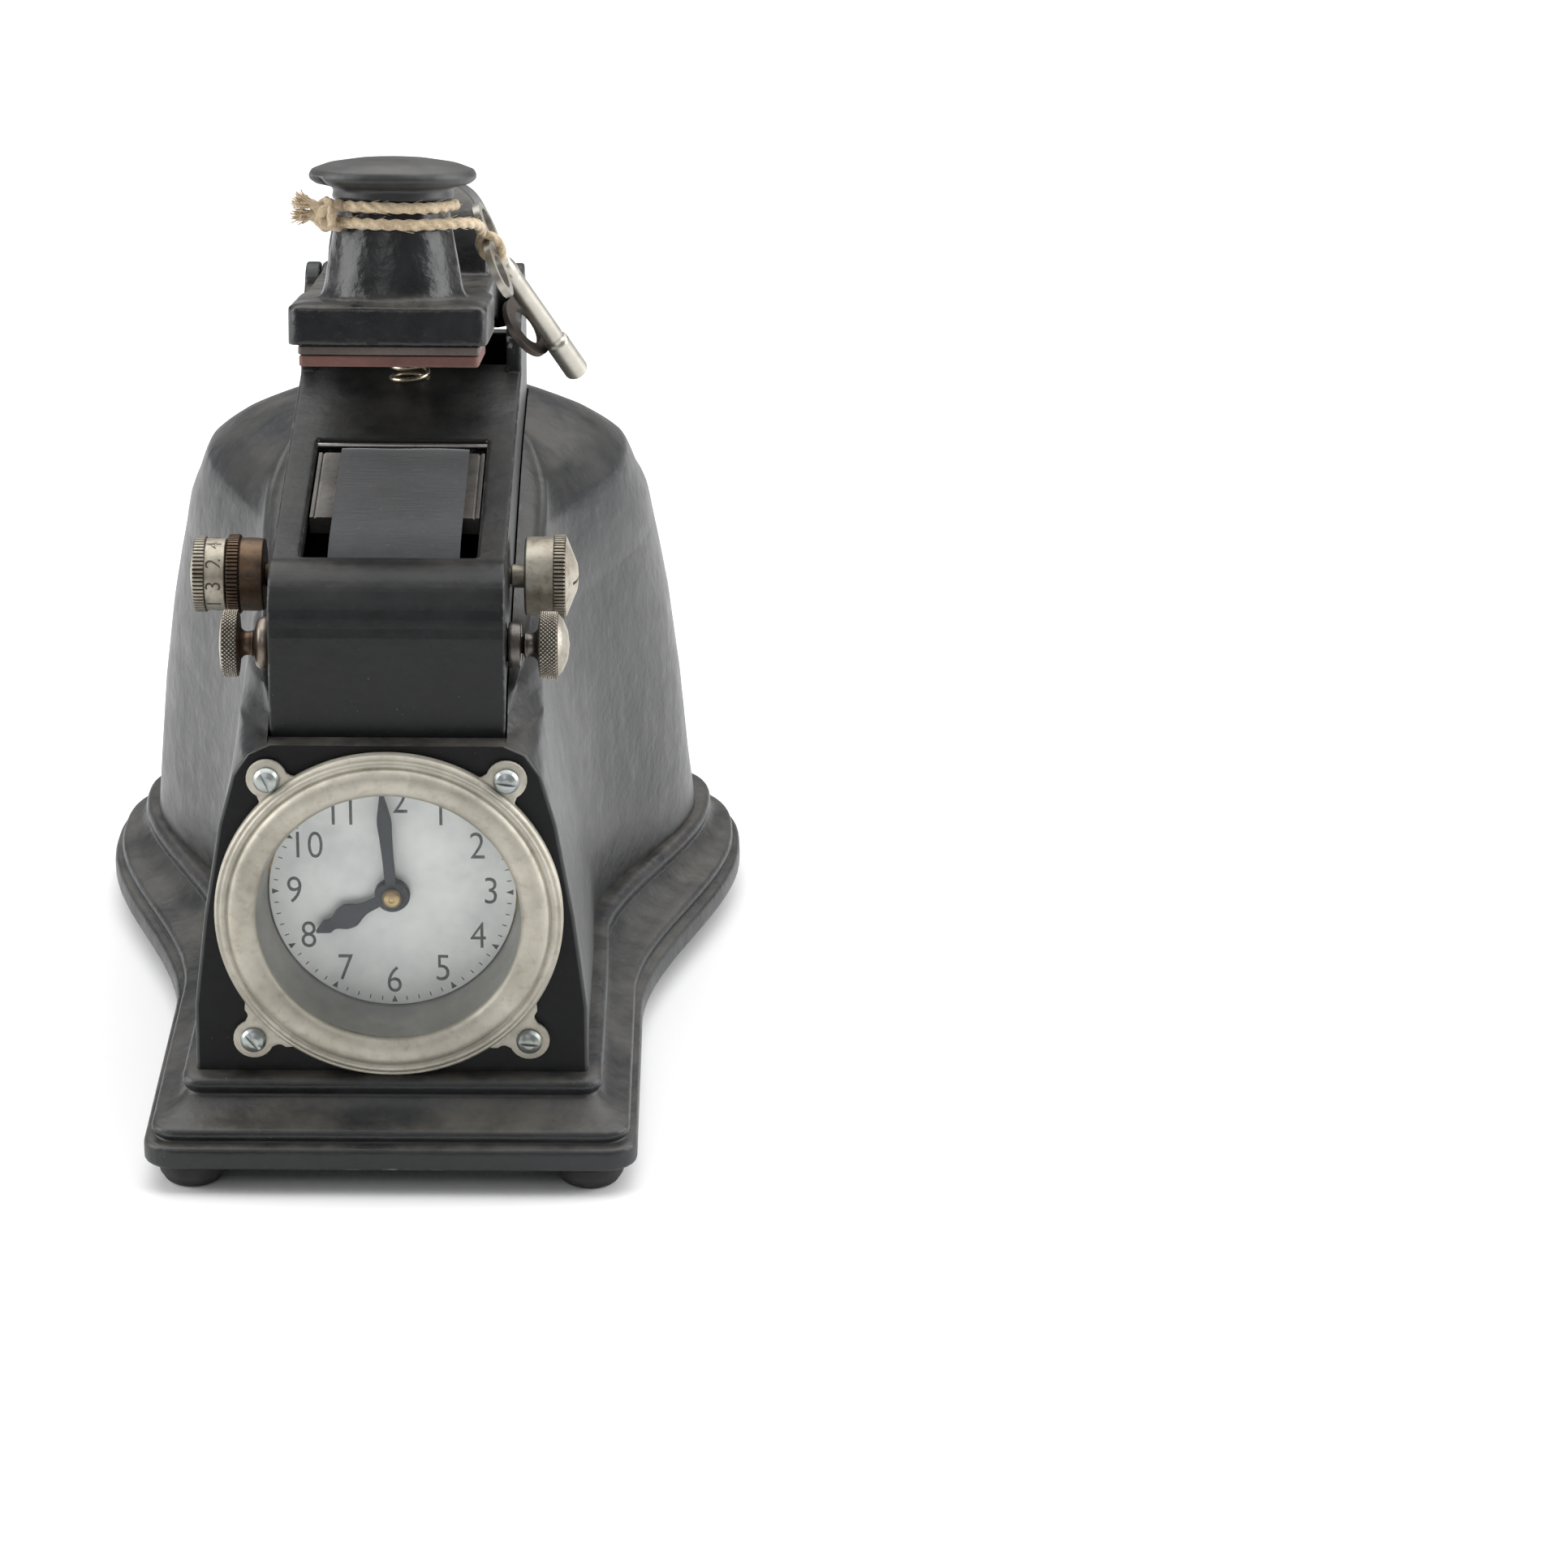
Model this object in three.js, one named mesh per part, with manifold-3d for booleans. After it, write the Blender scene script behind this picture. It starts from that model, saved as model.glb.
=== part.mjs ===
// Punch time clock: cast-iron desk time stamp with a hand-struck platen arm.
// Millimetres, +Z up, +X to the right of the dial, the dial faces -Y.
import * as THREE from 'three';
import { mergeVertices } from 'three/addons/utils/BufferGeometryUtils.js';
import Module from 'manifold-3d';

const wasm = await Module();
wasm.setup();

// ---------------------------------------------------------------- dimensions
const GAP = 0.3;               // running gap between neighbouring pieces
const WALL = 4.0;              // casting wall
const SHIFT_Y = -104.75;       // brings the middle of the depth to Y = 0

// housing: plan outline per level
// [z, front y, half width at front, plan corner radius, half width of tower,
//  y where the flare starts, half width of bell, y of widest point, rear y]
const LEVELS = [
  [6.0, -16.4, 59.1, 8, 59.1, 67, 86.6, 179, 225.6],
  [7.4, -18.0, 60.7, 8, 60.7, 67, 88.2, 179, 227.5],
  [10.8, -18.0, 60.7, 8, 60.7, 67, 88.2, 179, 227.5],
  [11.6, -16.8, 59.5, 7, 59.5, 68, 87.0, 179, 226.2],
  [14.8, -15.6, 59.2, 6.5, 59.2, 70, 86.2, 179, 225.2],
  [15.5, -13.4, 57.0, 6, 57.0, 72, 84.6, 180, 223.0],
  [18.2, -7.4, 53.4, 5.5, 53.4, 78, 81.0, 182, 218.6],
  [20.6, -3.0, 50.7, 5, 50.7, 86, 78.6, 184, 215.6],
  [21.4, -3.6, 51.3, 5, 51.3, 88, 79.2, 184, 216.2],
  [23.6, -3.0, 50.8, 5, 50.8, 91, 78.4, 184, 215.6],
  [24.2, 1.0, 48.4, 1.2, 48.0, 96, 75.5, 178, 210.8],
  [42.0, 1.0, 48.2, 1.2, 47.2, 88, 73.6, 172, 210.4],
  [66.0, 1.0, 45.2, 1.2, 44.2, 80, 71.3, 170, 210.0],
  [90.0, 1.0, 41.0, 1.2, 40.6, 72, 68.1, 169, 209.8],
  [103.0, 1.0, 37.4, 1.2, 38.4, 70, 65.7, 168, 209.4],
  [108.4, 1.0, 33.8, 1.2, 37.6, 70, 64.6, 168, 208.4],
  [111.0, 1.0, 28.5, 1.2, 37.2, 70, 64.1, 168, 207.6],
  [112.0, 5.5, 27.5, 8, 37.0, 70, 63.9, 168, 207.2],
  [121.0, 29.0, 33.6, 10, 36.0, 72, 62.3, 164.2, 206.0],
  [135.0, 60.0, 34.0, 12, 36.5, 84, 56.6, 157.7, 195.6],
  [142.5, 88.0, 34.5, 14, 36.0, 105, 48.6, 152, 185.6],
  [148.5, 112.0, 31.0, 12, 31.5, 124, 37.5, 152, 175.0],
  [152.5, 128.0, 24.0, 10, 24.5, 138, 27.0, 153, 168.6],
  [155.0, 142.0, 13.0, 6, 13.5, 148, 15.0, 155, 163.0],
];
const REAR_POWER = 3.0;

// clock
const CLOCK_Z = 67.0;          // dial centre height
const BEZEL_R = 42.5, BEZEL_IN = 33.6;
const DIAL_Y = 14.5, DIAL_R = 30.4;
const SCREWS = [['top_left', -28.9, 102.6], ['top_right', 28.9, 102.6],
                ['bottom_left', -33.9, 33.7], ['bottom_right', 33.9, 33.7]];

// type head (box with the paper table)
const TABLE_Y = 14, TABLE_Z = 150, TABLE_SLOPE = 9 * Math.PI / 180;
const HEAD_HALF = 28.5;
const DATE_AXIS = [42.0, 139.9];
const RIBBON_AXIS = [19.5, 130.2];
const SUPPLY_AXIS = [98.0, 146.5];
const TIME_AXIS = [66.0, 145.6];

// striking arm
const PIVOT = [147.0, 180.5];
const REST_TILT = -11.8 * Math.PI / 180;
const KNOB_Y = -84.0;          // knob axis ahead of the pivot, arm level

const tz = (y, h = 0) => TABLE_Z + Math.tan(TABLE_SLOPE) * (y - TABLE_Y) + h;

// ------------------------------------------------------------------- helpers
const root = new THREE.Group();
root.position.set(0, SHIFT_Y, 0);

function weld(g) {
  let w = g.index ? g.toNonIndexed() : g.clone();
  for (const k of Object.keys(w.attributes)) if (k !== 'position') w.deleteAttribute(k);
  return mergeVertices(w, 1e-4);
}
function solid(g) {
  const w = weld(g);
  return new wasm.Manifold(new wasm.Mesh({
    numProp: 3,
    vertProperties: new Float32Array(w.attributes.position.array),
    triVerts: new Uint32Array(w.index.array),
  }));
}
function shell(m) {
  const mesh = m.getMesh();
  const g = new THREE.BufferGeometry();
  g.setAttribute('position', new THREE.BufferAttribute(new Float32Array(mesh.vertProperties), 3));
  g.setIndex(new THREE.BufferAttribute(new Uint32Array(mesh.triVerts), 1));
  g.computeVertexNormals();
  return g;
}
const cut = (a, ...bs) => shell(bs.reduce((m, b) => m.subtract(solid(b)), solid(a)));
const join = (a, ...bs) => shell(bs.reduce((m, b) => m.add(solid(b)), solid(a)));
const move = (g, x, y, z) => g.clone().translate(x, y, z);
const block = (x0, x1, y0, y1, z0, z1) =>
  new THREE.BoxGeometry(x1 - x0, y1 - y0, z1 - z0).translate((x0 + x1) / 2, (y0 + y1) / 2, (z0 + z1) / 2);
// cylinders along each axis, from the low to the high coordinate
const rodX = (r, x0, x1, y, z, n = 20) =>
  new THREE.CylinderGeometry(r, r, x1 - x0, n).rotateZ(Math.PI / 2).translate((x0 + x1) / 2, y, z);
const rodY = (r, y0, y1, x, z, n = 20) =>
  new THREE.CylinderGeometry(r, r, y1 - y0, n).translate(x, (y0 + y1) / 2, z);
const rodZ = (r, z0, z1, x, y, n = 20) =>
  new THREE.CylinderGeometry(r, r, z1 - z0, n).rotateX(Math.PI / 2).translate(x, y, (z0 + z1) / 2);
// turned solid: profile of [radius, position along the axis]
function lathe(profile, n = 24) {
  const p = profile.map(([r, a]) => new THREE.Vector2(r, a));
  return new THREE.LatheGeometry(p, n);
}
const turnZ = (profile, x, y, z, n) => lathe(profile, n).rotateX(Math.PI / 2).translate(x, y, z);
const turnX = (profile, x, y, z, n) => lathe(profile, n).rotateZ(-Math.PI / 2).translate(x, y, z);
const turnY = (profile, x, y, z, n) => lathe(profile, n).translate(x, y, z);
// outline in the Y-Z plane, extruded along X
function slabX(points, x0, x1) {
  const s = new THREE.Shape(points.map(([y, z]) => new THREE.Vector2(y, z)));
  const g = new THREE.ExtrudeGeometry(s, { depth: x1 - x0, bevelEnabled: false, curveSegments: 8 });
  // shape x -> Y, shape y -> Z, extrusion -> X
  g.applyMatrix4(new THREE.Matrix4().set(0, 0, 1, x0, 1, 0, 0, 0, 0, 1, 0, 0, 0, 0, 0, 1));
  return g;
}
// outline in the X-Z plane, extruded along Y
function slabY(points, y0, y1, holes = []) {
  const s = new THREE.Shape(points.map(([x, z]) => new THREE.Vector2(x, z)));
  for (const h of holes) s.holes.push(new THREE.Path(h.map(([x, z]) => new THREE.Vector2(x, z))));
  const g = new THREE.ExtrudeGeometry(s, { depth: y1 - y0, bevelEnabled: false });
  return g.rotateX(Math.PI / 2).translate(0, y1, 0);
}
// outline in the X-Y plane, extruded along Z
function slabZ(points, z0, z1, holes = []) {
  const s = new THREE.Shape(points.map(([x, y]) => new THREE.Vector2(x, y)));
  for (const h of holes) s.holes.push(new THREE.Path(h.map(([x, y]) => new THREE.Vector2(x, y))));
  return new THREE.ExtrudeGeometry(s, { depth: z1 - z0, bevelEnabled: false }).translate(0, 0, z0);
}
const circle = (r, cx = 0, cy = 0, n = 24) => Array.from({ length: n }, (_, i) => {
  const a = 2 * Math.PI * i / n; return [cx + r * Math.cos(a), cy + r * Math.sin(a)];
});
const arc = (cx, cy, r, a0, a1, n) => Array.from({ length: n + 1 }, (_, i) => {
  const a = (a0 + (a1 - a0) * i / n) * Math.PI / 180; return [cx + r * Math.cos(a), cy + r * Math.sin(a)];
});
function gear(r, teeth, depth) {
  const pts = [];
  for (let i = 0; i < teeth; i++) {
    const a = 2 * Math.PI / teeth;
    for (const [f, q] of [[0, r - depth], [0.3, r], [0.55, r], [0.85, r - depth]])
      pts.push([q * Math.cos((i + f) * a), q * Math.sin((i + f) * a)]);
  }
  return pts;
}
const shifted = (pts, dx, dy) => pts.map(([a, b]) => [a + dx, b + dy]);
function roundedRect(x0, x1, y0, y1, r, n = 4) {
  return [...arc(x1 - r, y1 - r, r, 0, 90, n), ...arc(x0 + r, y1 - r, r, 90, 180, n),
          ...arc(x0 + r, y0 + r, r, 180, 270, n), ...arc(x1 - r, y0 + r, r, 270, 360, n)];
}
const paint = {
  casting: [0x1d1f21, 0.5, 0.3], satin: [0x17181b, 0.45, 0.2], nickel: [0xb8b3a4, 0.35, 0.9],
  brass: [0x9a7b45, 0.4, 0.9], steel: [0x8c8f92, 0.4, 0.9], blue: [0x23242b, 0.4, 0.7],
  rubber: [0x1a1a1a, 0.9, 0], red: [0x6d3c36, 0.85, 0], dial: [0xd9d9d6, 0.5, 0.1],
  glass: [0xe8eeee, 0.05, 0], cloth: [0x15151a, 0.95, 0], jute: [0xc2a878, 0.95, 0],
  black: [0x121315, 0.35, 0], dark: [0x2b2622, 0.5, 0.8],
};
function add(name, geometry, look, parent = root) {
  const [color, roughness, metalness] = paint[look];
  const m = new THREE.Mesh(geometry, new THREE.MeshStandardMaterial({ color, roughness, metalness }));
  m.name = name;
  parent.add(m);
  return m;
}

// ------------------------------------------------------------ housing outline
const ease = (t) => t * t * (3 - 2 * t);
function outline(L, off = 0) {       // off: distance inwards
  const [z, yf, wF, rc, wT, ya, wB, yb, yr] = L;
  const half = [[0, yf], [wF - rc, yf]];
  for (const a of [-60, -30, 0]) half.push([wF - rc + rc * Math.cos(a * Math.PI / 180), yf + rc + rc * Math.sin(a * Math.PI / 180)]);
  const yt = Math.min(yf + rc + 22, ya);
  half.push([wF + (wT - wF) * 0.7, yf + rc + (yt - yf - rc) * 0.45], [wT, yt]);
  for (const t of [0.0, 0.25, 0.5, 0.75, 1.0]) {
    const y = ya + (yb - ya) * t;
    if (t === 0 && ya - yt < 0.5) continue;
    half.push([wT + (wB - wT) * ease(t), y]);
  }
  while (half.length < 12) half.splice(7, 0, [(half[6][0] + half[7][0]) / 2, (half[6][1] + half[7][1]) / 2]);
  for (const d of [16, 34, 54, 74]) {
    const c = Math.cos(d * Math.PI / 180), s = Math.sin(d * Math.PI / 180);
    half.push([wB * Math.pow(c, 2 / REAR_POWER), yb + (yr - yb) * Math.pow(s, 2 / REAR_POWER)]);
  }
  half.push([0, yr]);
  let ring = [...half, ...half.slice(1, -1).reverse().map(([x, y]) => [-x, y])];
  if (off) {
    const n = ring.length;
    ring = ring.map(([x, y], i) => {
      const [ax, ay] = ring[(i + n - 1) % n], [bx, by] = ring[(i + 1) % n];
      let tx = bx - ax, ty = by - ay; const l = Math.hypot(tx, ty); tx /= l; ty /= l;
      return [x - ty * off, y + tx * off];
    });
    ring = ring.map(([x, y], i) => (i === 0 || i === half.length - 1) ? [0, y] : [x, y]);
  }
  return ring;
}
function levelAt(z) {
  if (z <= LEVELS[0][0]) return [z, ...LEVELS[0].slice(1)];
  for (let i = 1; i < LEVELS.length; i++) if (z <= LEVELS[i][0]) {
    const a = LEVELS[i - 1], b = LEVELS[i], t = (z - a[0]) / (b[0] - a[0]);
    return a.map((v, k) => v + (b[k] - v) * t);
  }
  return [z, ...LEVELS[LEVELS.length - 1].slice(1)];
}
function loft(rings) {           // rings: [z, [[x, y], ...]] from the bottom up
  const n = rings[0][1].length, pos = [], idx = [];
  for (const [z, r] of rings) for (const [x, y] of r) pos.push(x, y, z);
  for (let k = 0; k + 1 < rings.length; k++) for (let i = 0; i < n; i++) {
    const a = k * n + i, b = k * n + (i + 1) % n, c = a + n, d = b + n;
    idx.push(a, b, d, a, d, c);
  }
  const mid = (r) => [0, (r[0][1] + r[n / 2][1]) / 2];
  const bot = pos.length / 3; pos.push(...mid(rings[0][1]), rings[0][0]);
  const top = bot + 1; pos.push(...mid(rings.at(-1)[1]), rings.at(-1)[0] + 0.6);
  const last = (rings.length - 1) * n;
  for (let i = 0; i < n; i++) {
    idx.push(bot, (i + 1) % n, i);
    idx.push(top, last + i, last + (i + 1) % n);
  }
  const g = new THREE.BufferGeometry();
  g.setAttribute('position', new THREE.Float32BufferAttribute(pos, 3));
  g.setIndex(idx);
  return g;
}

// ---------------------------------------------------------------- the housing
{
  const outer = loft(LEVELS.map((L) => [L[0], outline(L)]));
  const inner = loft([
    [4.0, outline(levelAt(11), WALL)], [8.2, outline(levelAt(11), WALL)], [19.0, outline(levelAt(21), WALL)],
    [26.0, outline(levelAt(26), WALL)], [96.0, outline(levelAt(96), WALL)],
    [107.5, outline(levelAt(112), WALL)],
    [116.5, outline(levelAt(121), WALL)], [130.5, outline(levelAt(135), WALL)],
    [144.0, outline(levelAt(148.5), WALL)], [148.0, outline(levelAt(152.5), WALL)],
  ]);
  const body = solid(outer)
    .add(solid(block(-35.0, 35.2, 190, 211.3, 34.6, 105.4)))               // flat seat of the rear door
    .add(solid(block(-40.4, -36.4, 198, 213.6, 46, 50)))                   // hinge lugs
    .add(solid(block(-40.4, -36.4, 198, 213.6, 90, 94)))
    .subtract(solid(inner))
    .subtract(solid(rodY(38.4, -10, 30, 0, CLOCK_Z, 30)))                  // clock opening
    .subtract(solid(block(-HEAD_HALF - 0.4, HEAD_HALF + 0.4, 6.7, 158.6, 106.4, 170)))   // seat of the type head
    .subtract(solid(block(-30, 30, 180, 230, 40, 100)))                    // rear door opening
    .subtract(solid(block(-36.2, 36.9, 210.2, 216, 33.2, 107.3)))
    .subtract(solid(rodZ(3.0, 50, 90, -38.4, 211.6, 12)))                  // room for the door's knuckle
    .subtract(solid(rodZ(1.6, 40, 98, -38.4, 211.6, 10)));                 // hinge pin bore
  let b = body;
  for (const [, x, z] of SCREWS) b = b.subtract(solid(rodY(1.7, -2, 9.6, x, z, 10)));
  add('housing', shell(b.simplify(0.02)), 'casting');
}
// sheet-steel floor
const floorRing = outline(levelAt(11), WALL + GAP);
const FEET = [['front_left', -49, -7.4], ['front_right', 49, -7.4], ['rear_left', -58, 182], ['rear_right', 58, 182]];
add('bottom_plate', slabZ(floorRing, 6.0, 7.5, FEET.map(([, x, y]) => circle(2.9, x, y, 10).reverse())), 'steel');
for (const [n, x, y] of FEET)
  add('foot_' + n, turnZ([[0, 0], [6.8, 0], [8.4, 2.6], [8.0, 5.7], [2.6, 5.7], [2.6, 9.6], [0, 9.6]], x, y, 0, 14), 'rubber');

// rear door on its hinge
{
  const door = solid(slabY(roundedRect(-35.9, 36.2, 34, 106, 4), 210.5, 213.0))
    .subtract(solid(block(-37, -33, 205, 220, 40, 100)))
    .add(solid(block(-38.4, -32, 210.9, 212.3, 50.4, 89.6)))
    .add(solid(rodZ(2.6, 50.4, 89.6, -38.4, 211.6, 14)))
    .subtract(solid(rodZ(1.6, 40, 98, -38.4, 211.6, 12)))
    .subtract(solid(rodY(4.8, 205, 220, 24, 70, 16)));
  add('rear_door', shell(door), 'casting');
}
add('rear_door_hinge_pin', rodZ(1.3, 45, 95, -38.4, 211.6, 10), 'steel');
add('rear_door_lock', cut(join(turnY([[0, 200.6], [2.2, 200.6], [2.2, 209.4], [4.4, 209.4], [4.4, 214.0], [3.8, 214.6], [0, 214.6]], 24, 0, 70, 16), block(22, 26, 200.4, 202.6, 68, 79)),
  rodY(1.3, 210, 216, 24, 71.2, 8), block(23.5, 24.5, 210, 216, 67.4, 71.2)), 'nickel');

// ---------------------------------------------------------------------- clock
{
  const ring = turnY([[BEZEL_IN, -1.6], [35.6, -4.1], [38.0, -4.3], [40.2, -1.8],
    [BEZEL_R, -0.6], [BEZEL_R, 0.7], [BEZEL_IN, 0.7], [BEZEL_IN, -1.6]], 0, 0, CLOCK_Z, 36);
  let b = solid(ring);
  for (const [, x, z] of SCREWS) {
    const d = Math.hypot(x, z - CLOCK_Z), ux = x / d, uz = (z - CLOCK_Z) / d;
    const ear = [];
    for (let k = 0; k <= 6; k++) {      // lobe around the screw, widening to the ring
      const a = (-110 + 220 * k / 6) * Math.PI / 180, r = 4.6;
      ear.push([x + r * (ux * Math.cos(a) - uz * Math.sin(a)), z + r * (uz * Math.cos(a) + ux * Math.sin(a))]);
    }
    for (const s of [1, -1]) {
      const q = 38.5 / d, w = 10.5 * s;
      ear.push([x * q - uz * w, CLOCK_Z + (z - CLOCK_Z) * q + ux * w]);
    }
    b = b.add(solid(slabY(ear, -0.5, 0.7))).subtract(solid(rodY(1.9, -3, 3, x, z, 12)));
  }
  add('clock_bezel', shell(b), 'nickel');
}
for (const [n, x, z] of SCREWS)
  add('bezel_screw_' + n, cut(turnY([[0, -2.9], [1.4, -2.7], [2.5, -2.0], [3.0, -0.9], [1.3, -0.8], [1.3, 8.0], [0, 8.0]], x, 0, z, 12),
    move(new THREE.BoxGeometry(8, 1.2, 0.7), x, -2.75, z)), 'steel');
add('clock_glass', turnY([[0, 1.0], [36.4, 1.0], [36.4, 2.4], [0, 2.4]], 0, 0, CLOCK_Z, 28), 'glass');
add('dial_surround', turnY([[34.0, 2.8], [36.2, 2.8], [32.4, 16.8], [30.9, 16.8], [30.9, 14.2], [34.0, 2.8]], 0, 0, CLOCK_Z, 28), 'nickel');
add('dial', cut(rodY(DIAL_R, DIAL_Y, DIAL_Y + 0.8, 0, CLOCK_Z, 28), rodY(2.4, 10, 20, 0, CLOCK_Z, 14)), 'dial');

// hands: hour hand at eight, minute hand at twelve
const HOUR_A = -118 * Math.PI / 180, MIN_A = -4.5 * Math.PI / 180;
function hand(points, hub, y0, y1, bore, angle) {
  const g = cut(join(slabY(points, y0, y1), rodY(hub, y0, y1, 0, 0, 18)), rodY(bore, y0 - 2, y1 + 2, 0, 0, 12));
  return g.rotateY(angle).translate(0, 0, CLOCK_Z);
}
add('hour_hand', hand([[-1.0, 2], [-1.3, 8.5], [-2.5, 10.2], [-2.2, 13.6], [-1.0, 16.2], [-1.2, 17.6], [0, 20.2], [1.2, 17.6], [1.0, 16.2], [2.2, 13.6], [2.5, 10.2], [1.3, 8.5], [1.0, 2]], 3.9, 12.2, 12.9, 2.1, HOUR_A), 'blue');
add('minute_hand', hand([[-0.9, 2], [-1.3, 12], [-0.9, 20], [-0.5, 26.0], [0.5, 26.0], [0.9, 20], [1.3, 12], [0.9, 2]], 3.6, 10.8, 11.5, 1.5, MIN_A), 'blue');
add('hand_nut', turnY([[0, 9.0], [1.5, 9.1], [2.2, 9.6], [2.2, 10.5], [0, 10.5]], 0, 0, CLOCK_Z, 12), 'brass');

// --------------------------------------------------------- movement (inside)
add('movement_front_plate', cut(slabY(roundedRect(-31, 31, 28, 99, 5, 2), 18.0, 19.6),
  rodY(2.6, 17, 21, 0, CLOCK_Z, 14), rodY(2.4, 17, 21, -9, 47, 14), rodY(1.4, 17, 21, 17, 79, 10), rodY(1.4, 17, 21, 5.5, 85.5, 10), rodY(1.2, 17, 21, -14, 86, 10)), 'brass');
add('movement_back_plate', cut(join(slabY(roundedRect(-31, 31, 28, 99, 5, 2), 39.0, 40.6),
  ...[[-27, 32], [27, 32], [-27, 95], [27, 95]].map(([x, z]) => rodY(2.2, 19.9, 39.4, x, z, 8))),
  rodY(2.6, 38, 42, 0, CLOCK_Z, 14), rodY(2.6, 38, 42, -9, 47, 14), rodY(1.4, 38, 42, 17, 79, 10), rodY(1.4, 38, 42, 5.5, 85.5, 10), rodY(1.2, 38, 42, -14, 86, 10)), 'brass');
const wheelY = (r, teeth, depth, y0, y1, x, z, bore) =>
  slabY(shifted(gear(r, teeth, depth), x, z), y0, y1, [circle(bore, x, z, 10).reverse()]);
add('mainspring_barrel', cut(join(rodY(15.4, 29.0, 37.4, -9, 47, 16), slabY(shifted(gear(17.3, 20, 1.8), -9, 47), 26.6, 29.2)), rodY(2.3, 20, 45, -9, 47, 14)), 'brass');
add('winding_arbor', join(rodY(2.0, 17.6, 190.2, -9, 47, 14), block(-10.75, -7.25, 190, 198, 45.25, 48.75)), 'steel');
add('center_arbor', join(turnY([[0, 10.8], [1.2, 10.8], [1.2, 13.0], [1.8, 13.0], [1.8, 21.6], [1.3, 21.6], [1.3, 26.4], [4.0, 26.4], [4.0, 29.4], [1.8, 29.4], [1.8, 57.2], [5.0, 57.2], [3.2, 60.2], [0, 60.2]], 0, 0, CLOCK_Z, 12)), 'steel');
add('center_wheel', wheelY(17.0, 22, 1.6, 22.0, 23.4, 0, CLOCK_Z, 1.6), 'brass');
add('third_wheel', join(wheelY(10.4, 16, 1.3, 31.0, 32.2, 17, 79, 0.6), turnY([[0, 17.4], [1.1, 17.4], [1.1, 21.6], [3.0, 21.6], [3.0, 24.2], [1.1, 24.2], [1.1, 40.9], [0, 40.9]], 17, 0, 79, 8)), 'brass');
add('escape_wheel', join(wheelY(6.8, 12, 1.6, 24.4, 25.4, 5.5, 85.5, 0.6), turnY([[0, 17.4], [1.1, 17.4], [1.1, 30.4], [2.3, 30.4], [2.3, 33.0], [1.1, 33.0], [1.1, 40.9], [0, 40.9]], 5.5, 0, 85.5, 8)), 'brass');
{
  const rim = solid(slabY(shifted(circle(9.6, 0, 0, 18), -14, 86), 34.0, 36.0, [shifted(circle(8.3, 0, 0, 18), -14, 86).reverse()]));
  const b = rim.add(solid(block(-22.8, -5.2, 34.3, 35.7, 85.2, 86.8))).add(solid(rodY(0.9, 17.4, 40.9, -14, 86, 10)));
  add('balance_wheel', shell(b), 'brass');
}
add('type_drive_shaft', turnZ([[0, 72.4], [3.2, 72.4], [5.0, 75.4], [1.8, 75.4], [1.8, 136.9], [5.0, 136.9], [3.2, 139.9], [0, 139.9]], 0, 66, 0, 14), 'steel');

// ------------------------------------------------------------------ type head
const headProfile = [[7, 108.2], [158.2, 108.2], [158.2, 176],
  ...arc(PIVOT[0], PIVOT[1], 8.4, -10, 150, 7), [131, 181.5], [124.5, 180.0], [122.4, 177.5], [122.2, tz(122.2)],
  [22.0, tz(22.0)], ...arc(21.0, 138.0, 13.6, 100, 178, 6), [7, 136]];
{
  const sideIn = [[11, 100], [154.4, 100], [154.4, 230], [127, 230], [127, tz(127, -3.6)],
    [24, tz(24, -3.6)], [16, 146.2], [12.4, 142], [11, 137]];
  const b = solid(slabX(headProfile, -HEAD_HALF, HEAD_HALF))
    .subtract(solid(slabX(sideIn, -24.6, 24.6)))
    .subtract(solid(slabX([[121.6, tz(121.6)], [127, tz(127)], [127, 110], [154.4, 110], [154.4, 168], [170, 168], [170, 240], [121.6, 240]], -24.6, 24.6)))   // space between the cheeks
    .subtract(solid(slabX([[23, 120], [84.6, 120], [84.6, 190], [23, 190]], -21.3, 21.3)))
    .subtract(solid(rodX(3.3, -40, -20, ...DATE_AXIS, 16)))
    .subtract(solid(rodX(3.0, 20, 40, ...DATE_AXIS, 16)))
    .subtract(solid(rodX(4.3, -40, 40, ...RIBBON_AXIS, 18)))
    .subtract(solid(rodX(2.1, -26.5, 26.5, ...SUPPLY_AXIS, 12)))
    .subtract(solid(rodX(1.9, -26.5, 26.5, ...TIME_AXIS, 12)))
    .subtract(solid(rodX(0.9, -26.2, 26.2, 83.4, tz(83.4, -1.3), 8)))
    .subtract(solid(rodX(4.3, -40, 40, ...PIVOT, 18)));
  add('type_head', shell(b), 'satin');
}
add('type_block', typeBed(), 'steel');
function typeBed() {
  // printing bed: two side strips joined by a rear bar, parallel to the table
  const bar = (x0, x1, y0, y1) => slabX([[y0, tz(y0, -6)], [y1, tz(y1, -6)], [y1, tz(y1, -1.7)], [y0, tz(y0, -1.7)]], x0, x1);
  return join(bar(-20.9, -14.6, 46.3, 80.4), bar(14.6, 20.9, 46.3, 80.4), bar(-15, 15, 77.6, 80.4));
}
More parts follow.
